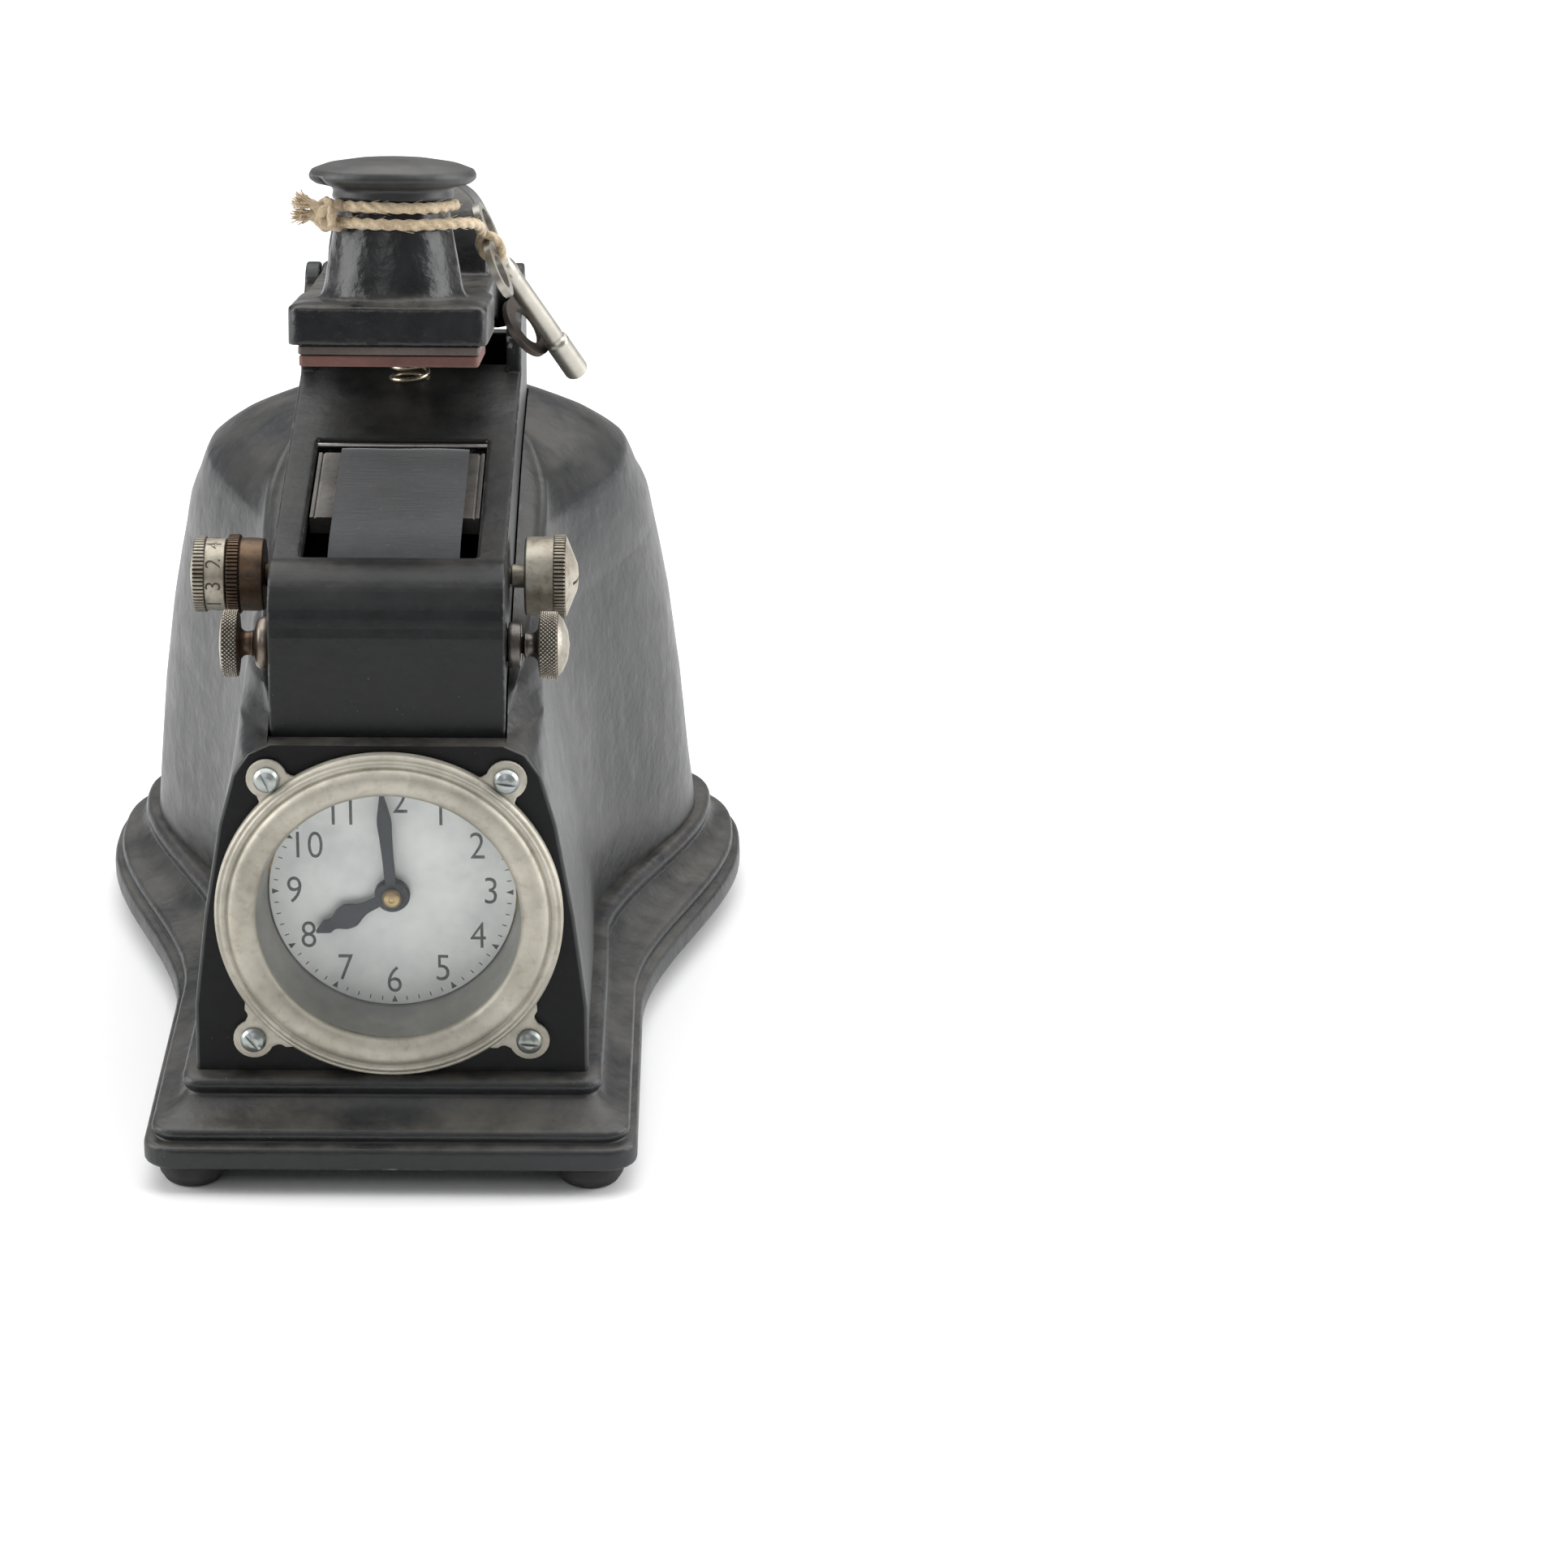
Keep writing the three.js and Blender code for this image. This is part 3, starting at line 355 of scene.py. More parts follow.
def gathered(name, parts):
    """one object from several (verts, faces) lists already in mm"""
    verts, faces = [], []
    for v, f in parts:
        k = len(verts)
        verts += v
        faces += [tuple(i + k for i in q) for q in f]
    return raw(name, verts, faces)


# ------------------------------------------------------------------- materials
class Mat:
    def __init__(self, name):
        self.m = bpy.data.materials.new(name)
        self.m.use_nodes = True
        self.t = self.m.node_tree
        self.b = self.t.nodes["Principled BSDF"]
        tc = self.t.nodes.new("ShaderNodeTexCoord")
        self.co = tc.outputs["Object"]
        geo = self.t.nodes.new("ShaderNodeNewGeometry")
        self.point, self.normal = geo.outputs["Pointiness"], geo.outputs["Normal"]

    def put(self, name, value):
        self.b.inputs[name].default_value = value
        return self

    def link(self, out, name):
        self.t.links.new(out, self.b.inputs[name])
        return self

    def noise(self, scale, detail=4, rough=0.55, stretch=None, distort=0.0):
        n = self.t.nodes.new("ShaderNodeTexNoise")
        n.inputs["Scale"].default_value, n.inputs["Detail"].default_value = scale, detail
        n.inputs["Roughness"].default_value, n.inputs["Distortion"].default_value = rough, distort
        co = self.co
        if stretch:
            mp = self.t.nodes.new("ShaderNodeMapping")
            mp.inputs["Scale"].default_value = stretch
            self.t.links.new(co, mp.inputs["Vector"])
            co = mp.outputs["Vector"]
        self.t.links.new(co, n.inputs["Vector"])
        return n.outputs["Fac"]

    def voronoi(self, scale, feature="F1"):
        n = self.t.nodes.new("ShaderNodeTexVoronoi")
        n.feature = feature
        n.inputs["Scale"].default_value = scale
        self.t.links.new(self.co, n.inputs["Vector"])
        return n.outputs["Distance"]

    def ramp(self, fac, stops):
        n = self.t.nodes.new("ShaderNodeValToRGB")
        e = n.color_ramp.elements
        while len(e) < len(stops):
            e.new(0.5)
        for k, (p, c) in enumerate(stops):
            e[k].position = p
            e[k].color = (c, c, c, 1) if isinstance(c, (int, float)) else (*c, 1)
        self.t.links.new(fac, n.inputs["Fac"])
        return n.outputs["Color"]

    def math(self, op, a, b=0.0, clamp=False):
        n = self.t.nodes.new("ShaderNodeMath")
        n.operation, n.use_clamp = op, clamp
        for k, v in enumerate((a, b)):
            if isinstance(v, (int, float)):
                n.inputs[k].default_value = v
            else:
                self.t.links.new(v, n.inputs[k])
        return n.outputs[0]

    def mix(self, fac, a, b):
        n = self.t.nodes.new("ShaderNodeMix")
        n.data_type = "RGBA"
        for key, v in (("Factor", fac), ("A", a), ("B", b)):
            s = [i for i in n.inputs if i.name == key and (i.type == "VALUE" if key == "Factor" else i.type == "RGBA")][0]
            if isinstance(v, (int, float)):
                s.default_value = v if key == "Factor" else (v, v, v, 1)
            elif isinstance(v, tuple):
                s.default_value = (*v, 1)
            else:
                self.t.links.new(v, s)
        return [o for o in n.outputs if o.type == "RGBA"][0]

    def up(self, lo=0.5, hi=1.0):
        s = self.t.nodes.new("ShaderNodeSeparateXYZ")
        self.t.links.new(self.normal, s.inputs[0])
        return self.ramp(s.outputs["Z"], [(lo, 0.0), (hi, 1.0)])

    def sep(self, axis):
        s = self.t.nodes.new("ShaderNodeSeparateXYZ")
        self.t.links.new(self.co, s.inputs[0])
        return s.outputs[axis]

    def bump(self, *layers):
        prev = None
        for h, strength, dist in layers:
            n = self.t.nodes.new("ShaderNodeBump")
            n.inputs["Strength"].default_value, n.inputs["Distance"].default_value = strength, dist
            self.t.links.new(h, n.inputs["Height"])
            if prev is not None:
                self.t.links.new(prev, n.inputs["Normal"])
            prev = n.outputs["Normal"]
        self.t.links.new(prev, self.b.inputs["Normal"])
        return self


def paint(name, tone=0.016, rough=0.38, dust=0.5, wear=0.6, grain=0.35, speck=1.0, tint=(0.95, 1.0, 1.08), coarse=0.5, spec=0.34):
    m = Mat(name)
    big, mid, fine = m.noise(22, 5), m.noise(160, 5), m.noise(900, 3)
    lo = tuple(tone * 0.62 * t for t in tint)
    hi = tuple(tone * 1.55 * t for t in tint)
    col = m.ramp(big, [(0.32, lo), (0.7, hi)])
    col = m.mix(m.math("MULTIPLY", m.ramp(mid, [(0.45, 0.0), (0.75, 1.0)]), 0.35), col, tuple(tone * 2.3 * t for t in tint))
    # settled dust on what faces up, and grime in hollows
    du = m.math("MULTIPLY", m.up(0.45, 1.0), m.ramp(m.noise(48, 6, 0.65), [(0.38, 0.0), (0.68, 1.0)]))
    du = m.math("MULTIPLY", du, dust, True)
    col = m.mix(du, col, (0.16, 0.15, 0.125))
    hollow = m.math("MULTIPLY", m.ramp(m.point, [(0.40, 1.0), (0.487, 0.0)]), m.ramp(m.noise(120, 4), [(0.35, 0.0), (0.65, 1.0)]))
    col = m.mix(m.math("MULTIPLY", hollow, 0.5 * dust + 0.1), col, (0.15, 0.135, 0.10))
    # pale specks
    sp = m.ramp(m.noise(1100, 2, 0.5), [(0.735, 0.0), (0.78, 1.0)])
    sp = m.math("MULTIPLY", sp, m.ramp(m.noise(70, 4), [(0.46, 0.0), (0.62, 1.0)]))
    col = m.mix(m.math("MULTIPLY", sp, 0.55 * speck, True), col, (0.24, 0.225, 0.19))
    # paint rubbed and chipped along edges
    edge = m.math("MULTIPLY", m.ramp(m.point, [(0.525, 0.0), (0.60, 1.0)]), m.ramp(m.noise(330, 5, 0.7), [(0.50, 0.0), (0.60, 1.0)]))
    edge = m.math("MULTIPLY", edge, wear, True)
    col = m.mix(edge, col, (0.32, 0.33, 0.33))
    m.link(col, "Base Color").put("Specular IOR Level", spec)
    r = m.math("ADD", m.math("MULTIPLY", mid, 0.22), rough - 0.11)
    r = m.math("ADD", r, m.math("MULTIPLY", du, 0.35))
    m.link(m.math("ADD", r, m.math("MULTIPLY", m.ramp(big, [(0.3, 0.0), (0.7, 1.0)]), 0.06), True), "Roughness")
    m.bump((m.noise(75, 3), coarse, 0.0012), (m.noise(420, 3), grain, 0.0004), (fine, grain * 0.5, 0.00012))
    return m.m


def metal(name, color, rough=0.3, dirt_and_shade=0.5, dirt_and_shade_col=(0.09, 0.075, 0.045), bright=1.25, scratch=0.25, stretch=None, aged=0.35, patina=None, solid=0.92, valley=None):
    m = Mat(name)
    big, mid = m.noise(60, 5, 0.6), m.noise(420, 5, 0.65)
    col = m.ramp(big, [(0.3, tuple(c * 0.72 for c in color)), (0.7, tuple(min(1, c * bright) for c in color))])
    if patina:
        col = m.mix(m.math("MULTIPLY", m.ramp(m.noise(95, 6, 0.7), [(0.42, 0.0), (0.66, 1.0)]), aged), col, patina)
    spots = m.math("MULTIPLY", m.ramp(mid, [(0.52, 0.0), (0.72, 1.0)]), dirt_and_shade)
    col = m.mix(spots, col, dirt_and_shade_col)
    # darkened in hollows towards half the dirt colour: painted shade
    hollow = m.math("MULTIPLY", m.ramp(m.point, [(0.36, 1.0), (0.488, 0.0)]), min(1, dirt_and_shade * 1.6), True)
    col = m.mix(hollow, col, tuple(c * 0.5 for c in dirt_and_shade_col))
    if valley:                                              # painted shade between the teeth of a turned piece, darkest at the roots
        (yc, zc), r0, r1 = valley
        yy = m.math("ADD", m.sep("Y"), -(yc + SHIFT_Y) * 0.001)
        zz = m.math("ADD", m.sep("Z"), -zc * 0.001)
        rad = m.math("SQRT", m.math("ADD", m.math("MULTIPLY", yy, yy), m.math("MULTIPLY", zz, zz)))
        deep = m.math("MULTIPLY", m.math("ADD", rad, -r0 * 0.001), 1000.0 / (r1 - r0), True)
        deep = m.ramp(deep, [(0.0, 1.0), (1.0, 0.0)])
        band = m.math("MULTIPLY", m.math("ADD", rad, -(r0 - 0.14) * 0.001), 10000.0, True)
        col = m.mix(m.math("MULTIPLY", deep, m.math("MULTIPLY", band, 0.93)), col, tuple(c * 0.5 for c in dirt_and_shade_col))
    m.link(col, "Base Color").put("Metallic", solid)
    r = m.math("ADD", m.math("MULTIPLY", mid, 0.25), rough - 0.1)
    m.link(m.math("ADD", r, m.math("MULTIPLY", hollow, 0.3), True), "Roughness")
    lines = m.noise(500, 3, 0.6, stretch or (1, 1, 1))
    m.bump((lines, scratch, 0.0001), (m.noise(150, 3), 0.18, 0.0003))
    return m.m


M_CAST = paint("casting_paint", 0.0125, 0.36, 0.40, 0.40, 0.34, 1.0, spec=0.42)
# darker, flatter copy of the casting paint for the clock panel: painted shade
M_PANEL_SHADED = paint("panel_paint_shaded", 0.0065, 0.50, 0.10, 0.0, 0.20, 1.2, spec=0.18)
M_HEAD = paint("head_paint", 0.0085, 0.38, 0.16, 0.9, 0.22, 0.5, coarse=0.35, spec=0.32)
M_ARM = paint("arm_paint", 0.0095, 0.27, 0.62, 0.25, 0.5, 0.7, coarse=0.8, spec=0.42)
M_SHEET = paint("sheet_paint", 0.02, 0.5, 0.2, 0.2, 0.12, 0.4)
M_KNOB = paint("knob_enamel", 0.022, 0.42, 0.30, 0.35, 0.25, 0.8, tint=(0.96, 1.0, 1.03), coarse=0.3, spec=0.5)
M_BEZEL = metal("tarnished_nickel", (0.46, 0.435, 0.375), 0.52, 0.30, (0.20, 0.17, 0.10), 1.2, 0.2, patina=(0.31, 0.285, 0.21), solid=0.72)
M_SCREW = metal("screw_nickel", (0.36, 0.385, 0.39), 0.36, 0.30, (0.22, 0.23, 0.11), 1.2, 0.2, patina=(0.34, 0.37, 0.25), aged=0.45)
M_STEEL = metal("dull_steel", (0.42, 0.41, 0.39), 0.34, 0.45, (0.10, 0.08, 0.05))
M_LOCK = metal("lock_nickel", (0.5, 0.49, 0.45), 0.3, 0.35)
M_TIN = metal("satin_tin", (0.42, 0.415, 0.385), 0.55, 0.14, (0.2, 0.19, 0.16), 1.15, 0.15, solid=0.6)
M_KNICK = metal("knob_nickel", (0.38, 0.355, 0.30), 0.44, 0.5, (0.075, 0.052, 0.030), 1.25, 0.3, patina=(0.20, 0.15, 0.095), aged=0.6, solid=0.8, valley=(DATE_AXIS, 9.03, 9.5))
M_MONTH = metal("month_nickel", (0.38, 0.355, 0.30), 0.44, 0.5, (0.075, 0.052, 0.030), 1.25, 0.3, patina=(0.20, 0.15, 0.095), aged=0.6, solid=0.8, valley=(DATE_AXIS, 9.95, 10.4))
M_KBRASS = metal("knob_brass", (0.105, 0.068, 0.042), 0.42, 0.6, (0.022, 0.016, 0.013), 1.35, 0.3, patina=(0.05, 0.036, 0.03), aged=0.7, solid=0.8, valley=(DATE_AXIS, 9.43, 9.85))
M_FEED = metal("feed_steel", (0.36, 0.34, 0.295), 0.42, 0.4, (0.07, 0.05, 0.03), 1.3, 0.25, patina=(0.20, 0.15, 0.10), aged=0.6, solid=0.8, valley=(RIBBON_AXIS, 7.62, 8.15))
M_COLLAR = metal("collar_nickel", (0.22, 0.19, 0.16), 0.36, 0.4, (0.06, 0.045, 0.03), 1.3, 0.2, patina=(0.12, 0.09, 0.065), aged=0.6)
M_DARKST = metal("dark_steel", (0.12, 0.11, 0.10), 0.34, 0.5, (0.03, 0.025, 0.02), 1.3, 0.3)
M_BRASS = metal("movement_brass", (0.62, 0.45, 0.20), 0.28, 0.25, (0.16, 0.10, 0.04), 1.15, 0.2)
M_NUT = metal("nut_brass", (0.50, 0.36, 0.17), 0.33, 0.35, (0.12, 0.08, 0.04))
M_BLUE = metal("blued_steel", (0.022, 0.026, 0.032), 0.45, 0.35, (0.03, 0.028, 0.026), 1.5, 0.25, solid=0.5)
M_TYPE = metal("inked_steel", (0.20, 0.19, 0.175), 0.36, 0.5, (0.03, 0.027, 0.024), 1.3, 0.5, stretch=(1, 14, 1))
M_SPRING = metal("spring_wire", (0.52, 0.45, 0.33), 0.26, 0.3, (0.12, 0.09, 0.05))
M_KEY = metal("key_nickel", (0.50, 0.48, 0.43), 0.34, 0.10, (0.24, 0.21, 0.16), 1.15, 0.08, patina=(0.40, 0.36, 0.29), aged=0.35)
M_RING = metal("ring_dark", (0.10, 0.085, 0.075), 0.42, 0.5, (0.04, 0.03, 0.025))
M_PLATEN = metal("platen_plate_grey", (0.12, 0.10, 0.09), 0.55, 0.5, (0.07, 0.05, 0.04), solid=0.4)


def simple(name, cols, rough, scale=200, bump=0.2, dist=0.0002, extra=None, metallic=0.0):
    m = Mat(name)
    n = m.noise(scale, 5, 0.6)
    m.link(m.ramp(n, [(0.3, cols[0]), (0.7, cols[1])]), "Base Color")
    m.link(m.math("ADD", m.math("MULTIPLY", n, 0.2), rough - 0.1, True), "Roughness")
    m.put("Metallic", metallic)
    m.bump((m.noise(scale * 3, 3), bump, dist))
    return m.m


M_FOOT = simple("foot_rubber", ((0.012, 0.012, 0.013), (0.028, 0.027, 0.026)), 0.75, 300, 0.3)
M_INK = simple("engraved_ink", ((0.012, 0.010, 0.008), (0.05, 0.042, 0.032)), 0.6, 700, 0.2)
M_INKB = simple("engraved_dark", ((0.028, 0.020, 0.014), (0.075, 0.056, 0.038)), 0.6, 700, 0.2)
M_DIALINK = simple("dial_ink", ((0.035, 0.04, 0.042), (0.095, 0.10, 0.10)), 0.55, 900, 0.1)
M_SPOOL = simple("spool_black", ((0.015, 0.015, 0.016), (0.035, 0.034, 0.032)), 0.45, 200, 0.2)
# near-black for the notch on the platen block: painted shade
M_NOTCH_SHADE = simple("painted_notch_shade", ((0.004, 0.004, 0.004), (0.01, 0.01, 0.01)), 0.8, 600, 0.1)


def red_rubber():
    m = Mat("platen_rubber")
    n, f = m.noise(110, 5, 0.6), m.noise(900, 4)
    col = m.ramp(n, [(0.3, (0.085, 0.026, 0.022)), (0.7, (0.17, 0.060, 0.050))])
    col = m.mix(m.math("MULTIPLY", m.ramp(m.noise(240, 5, 0.7), [(0.5, 0.0), (0.7, 1.0)]), 0.55), col, (0.085, 0.06, 0.052))
    col = m.mix(m.math("MULTIPLY", m.ramp(m.point, [(0.52, 0.0), (0.6, 1.0)]), 0.6), col, (0.26, 0.20, 0.16))
    m.link(col, "Base Color")
    m.link(m.math("ADD", m.math("MULTIPLY", f, 0.2), 0.66, True), "Roughness")
    m.bump((n, 0.4, 0.0006), (f, 0.35, 0.0002))
    return m.m


def ribbon_cloth():
    m = Mat("inked_cloth")
    y = m.noise(900, 2, 0.5, (0.15, 1, 1))
    x = m.noise(900, 2, 0.5, (1, 0.15, 0.15))
    weave = m.math("MAXIMUM", x, y)
    col = m.ramp(m.noise(90, 5), [(0.3, (0.0075, 0.009, 0.011)), (0.7, (0.020, 0.022, 0.025))])
    col = m.mix(m.math("MULTIPLY", m.ramp(m.noise(700, 2), [(0.70, 0.0), (0.75, 1.0)]), 0.35), col, (0.16, 0.155, 0.14))
    m.link(col, "Base Color")
    m.link(m.math("ADD", m.math("MULTIPLY", weave, 0.25), 0.62, True), "Roughness")
    m.put("Sheen Weight", 0.35).put("Sheen Roughness", 0.45)
    m.bump((weave, 0.5, 0.00025), (m.noise(60, 3), 0.25, 0.0008))
    return m.m


def dial_face():
    m = Mat("silvered_dial")
    a, b = m.noise(55, 6, 0.62), m.noise(230, 5, 0.6)
    col = m.ramp(a, [(0.30, (0.60, 0.635, 0.625)), (0.50, (0.76, 0.785, 0.77)), (0.70, (0.88, 0.89, 0.87))])
    col = m.mix(m.math("MULTIPLY", m.ramp(b, [(0.48, 0.0), (0.75, 1.0)]), 0.25), col, (0.55, 0.575, 0.565))
    m.link(col, "Base Color").put("Metallic", 0.05)
    m.link(m.math("ADD", m.math("MULTIPLY", b, 0.2), 0.36, True), "Roughness")
    m.bump((b, 0.12, 0.0002))
    return m.m


def jute():
    m = Mat("jute_twine")
    a, b = m.noise(350, 5, 0.65), m.noise(1800, 4, 0.6)
    col = m.ramp(a, [(0.25, (0.30, 0.215, 0.125)), (0.5, (0.50, 0.385, 0.245)), (0.75, (0.68, 0.555, 0.39))])
    col = m.mix(m.math("MULTIPLY", m.ramp(b, [(0.45, 0.0), (0.7, 1.0)]), 0.45), col, (0.80, 0.69, 0.52))
    # darker in the twine's grooves: painted shade
    col = m.mix(m.math("MULTIPLY", m.ramp(m.point, [(0.38, 1.0), (0.49, 0.0)]), 0.7), col, (0.16, 0.11, 0.06))
    m.link(col, "Base Color").put("Roughness", 0.92).put("Sheen Weight", 0.3)
    m.bump((b, 0.7, 0.00025), (a, 0.4, 0.0004))
    return m.m


M_PAD, M_CLOTH, M_DIAL, M_JUTE = red_rubber(), ribbon_cloth(), dial_face(), jute()


def glass():
    m = Mat("clear_glass")
    m.put("Base Color", (0.93, 0.96, 0.96, 1)).put("Roughness", 0.06).put("Alpha", 0.035)
    m.bump((m.noise(30, 2), 0.03, 0.001))
    m.m.surface_render_method = "BLENDED"
    return m.m


M_GLASS = glass()


def keep(node, mat):
    """a CAD node whose shape is right keeps it, with its own material"""
    me = NODES[node].data
    me.materials.clear()
    me.materials.append(mat)


# ---------------------------------------------------------------- the housing
LEVELS = [
    [6.0, -16.4, 59.1, 8, 59.1, 67, 86.6, 179, 225.6], [7.4, -18.0, 60.7, 8, 60.7, 67, 88.2, 179, 227.5],
    [10.8, -18.0, 60.7, 8, 60.7, 67, 88.2, 179, 227.5], [11.6, -16.8, 59.5, 7, 59.5, 68, 87.0, 179, 226.2],
    [14.8, -15.6, 59.2, 6.5, 59.2, 70, 86.2, 179, 225.2], [15.5, -13.4, 57.0, 6, 57.0, 72, 84.6, 180, 223.0],
    [18.2, -7.4, 53.4, 5.5, 53.4, 78, 81.0, 182, 218.6], [20.6, -3.0, 50.7, 5, 50.7, 86, 78.6, 184, 215.6],
    [21.4, -3.6, 51.3, 5, 51.3, 88, 79.2, 184, 216.2], [23.6, -3.0, 50.8, 5, 50.8, 91, 78.4, 184, 215.6],
    [24.2, 1.0, 48.4, 1.2, 48.0, 96, 75.5, 178, 210.8], [42.0, 1.0, 48.2, 1.2, 47.2, 88, 73.6, 172, 210.4],
    [66.0, 1.0, 45.2, 1.2, 44.2, 80, 71.3, 170, 210.0], [90.0, 1.0, 41.0, 1.2, 40.6, 72, 68.1, 169, 209.8],
    [103.0, 1.0, 37.4, 1.2, 38.4, 70, 65.7, 168, 209.4], [108.4, 1.0, 33.8, 1.2, 37.6, 70, 64.6, 168, 208.4],
    [111.0, 1.0, 28.5, 1.2, 37.2, 70, 64.1, 168, 207.6], [112.0, 2.5, 28.2, 3, 37.1, 70, 63.9, 168, 206.8],
    [115.5, 6.5, 29.2, 6, 36.9, 70, 63.3, 167, 206.2], [119.5, 11.5, 30.6, 8, 36.6, 71, 62.5, 166, 205.2],
    [122.8, 21.0, 32.2, 10, 36.4, 73, 61.4, 164, 203.6], [126.5, 38.0, 33.4, 11, 36.4, 77, 59.9, 161, 200.8],
    [135.0, 62.0, 34.0, 12, 36.5, 86, 56.6, 157.7, 195.6], [142.5, 88.0, 34.5, 14, 36.0, 105, 48.6, 152, 185.6],
    [148.5, 112.0, 31.0, 12, 31.5, 124, 37.5, 152, 175.0], [152.5, 128.0, 24.0, 10, 24.5, 138, 27.0, 153, 168.6],
    [155.0, 142.0, 13.0, 6, 13.5, 148, 15.0, 155, 163.0]]


def ease(t):
    return t * t * (3 - 2 * t)


def half_outline(L):
    z, yf, wF, rc, wT, ya, wB, yb, yr = L
    pts = [((wF - rc) * k / 7, yf) for k in range(7)]
    pts += [(wF - rc + rc * cos(radians(-90 + 15 * k)), yf + rc + rc * sin(radians(-90 + 15 * k))) for k in range(7)]
    yt = min(yf + rc + 22, ya)
    c = (wF + (wT - wF) * 0.8, yf + rc + (yt - yf - rc) * 0.5)
    for k in range(1, 9):
        t = k / 8
        pts.append(((1 - t) ** 2 * wF + 2 * t * (1 - t) * c[0] + t * t * wT, (1 - t) ** 2 * (yf + rc) + 2 * t * (1 - t) * c[1] + t * t * yt))
    pts += [(wT, yt + (ya - yt) * k / 8) for k in range(1, 9)]
    pts += [(wT + (wB - wT) * ease(k / 24), ya + (yb - ya) * k / 24) for k in range(1, 25)]
    for k in range(1, 31):
        d = radians(3 * k)
        pts.append((wB * max(0, cos(d)) ** (2 / 3.0), yb + (yr - yb) * sin(d) ** (2 / 3.0)))
    pts[-1] = (0.0, yr)
    return pts


BASE = [
    [6.0, -16.6, 59.3, 8, 59.3, 67, 86.8, 179, 225.6], [6.6, -17.8, 60.5, 8, 60.5, 67, 88.0, 179, 227.2], [7.4, -18.0, 60.7, 8, 60.7, 67, 88.2, 179, 227.5],
    [11.0, -18.0, 60.7, 8, 60.7, 67, 88.2, 179, 227.5], [12.1, -17.3, 60.1, 7.5, 60.1, 68, 87.5, 179, 226.8], [12.3, -15.2, 58.6, 7, 58.6, 69, 86.0, 179, 225.2],
    [12.9, -14.8, 58.2, 7, 58.2, 70, 85.8, 179, 225.0], [14.3, -15.6, 58.9, 6.5, 58.9, 70, 86.2, 179, 225.4], [15.8, -15.0, 58.4, 6, 58.4, 71, 85.7, 179.5, 224.6],
    [16.3, -12.8, 56.6, 6, 56.6, 73, 84.2, 180, 222.6], [16.7, -10.2, 55.0, 5.5, 55.0, 76, 82.6, 181, 220.4], [18.0, -6.6, 52.6, 5.5, 52.6, 80, 80.6, 182, 217.8],
    [20.2, -3.4, 50.8, 5, 50.8, 85, 79.0, 184, 215.8], [21.0, -3.9, 51.4, 5, 51.4, 87, 79.5, 184, 216.4], [22.6, -4.5, 52.0, 5, 52.0, 89, 79.9, 184, 216.9],
    [24.0, -3.9, 51.5, 5, 51.5, 91, 79.2, 184, 216.2], [24.6, -2.2, 50.2, 4, 50.2, 92, 77.8, 182, 214.6], [24.7, 1.0, 48.4, 1.2, 48.0, 96, 75.5, 178, 210.8]]


def fine_levels():
    low = BASE
    rows = [list(map(float, r)) for r in low]
    for k in (0.22, 0.25):                                # soft, paint-filled corners of the moulding
        out = [rows[0]]
        for a, b in zip(rows, rows[1:]):
            out.append([p * (1 - k) + q * k for p, q in zip(a, b)])
            out.append([p * k + q * (1 - k) for p, q in zip(a, b)])
        rows = out + [rows[-1]]
    high = [list(map(float, r)) for r in [BASE[-1]] + LEVELS[11:]]
    flat = high[:7]
    for a, b in zip(flat, flat[1:]):                      # flat front: straight between levels, curved in the flank
        n = max(2, int((b[0] - a[0]) / 1.6))
        rows += [[p + (q - p) * k / n for p, q in zip(a, b)] for k in range(1, n + 1)]
    ext = [flat[-1]] + high[7:]
    # the roof, smoothed
    v = [Vector(r[:3]) for r in ext]
    pad = [[2 * p - q for p, q in zip(ext[0], ext[1])]] + ext + [[2 * p - q for p, q in zip(ext[-1], ext[-2])]]
    for i in range(1, len(pad) - 2):
        for k in range(1, 9):
            t = k / 8
            row = []
            for p0, p1, p2, p3 in zip(pad[i - 1], pad[i], pad[i + 1], pad[i + 2]):
                c = 0.5 * (2 * p1 + (p2 - p0) * t + (2 * p0 - 5 * p1 + 4 * p2 - p3) * t * t + (3 * p1 - p0 - 3 * p2 + p3) * t ** 3)
                row.append((1 - 0.6) * (p1 + (p2 - p1) * t) + 0.6 * c)
            rows.append(row)
    return rows


def loft(name, rows, inset=0.0, dz=0.0):
    verts, n = [], 0
    for r in rows:
        h = half_outline(r)
        ring = [(x - 2.0 * ease(min(1, max(0, (y - 60) / 100))) * min(1, x / 40), y) for x, y in h] + [(-x, y) for x, y in h[-2:0:-1]]
        n = len(ring)
        if inset:
            new = []
            for i, (x, y) in enumerate(ring):
                a, b = ring[i - 1], ring[(i + 1) % n]
                tx, ty = b[0] - a[0], b[1] - a[1]
                ln = hypot(tx, ty) or 1
                new.append((x - ty / ln * inset, y + tx / ln * inset))
            ring = new
        verts += [(x, y, r[0] + dz) for x, y in ring]
    faces = []
    for k in range(len(rows) - 1):
        for i in range(n):
            j = (i + 1) % n
            faces.append((k * n + i, k * n + j, (k + 1) * n + j, (k + 1) * n + i))
    b, t = len(verts), len(verts) + 1
    y0 = (verts[0][1] + verts[n // 2][1]) / 2
    last = (len(rows) - 1) * n
    y1 = (verts[last][1] + verts[last + n // 2][1]) / 2
    verts += [(0, y0, verts[0][2]), (0, y1, verts[last][2] + 0.6)]
    for i in range(n):
        j = (i + 1) % n
        faces.append((b, j, i))
        faces.append((t, last + i, last + j))
    return raw(name, verts, faces)


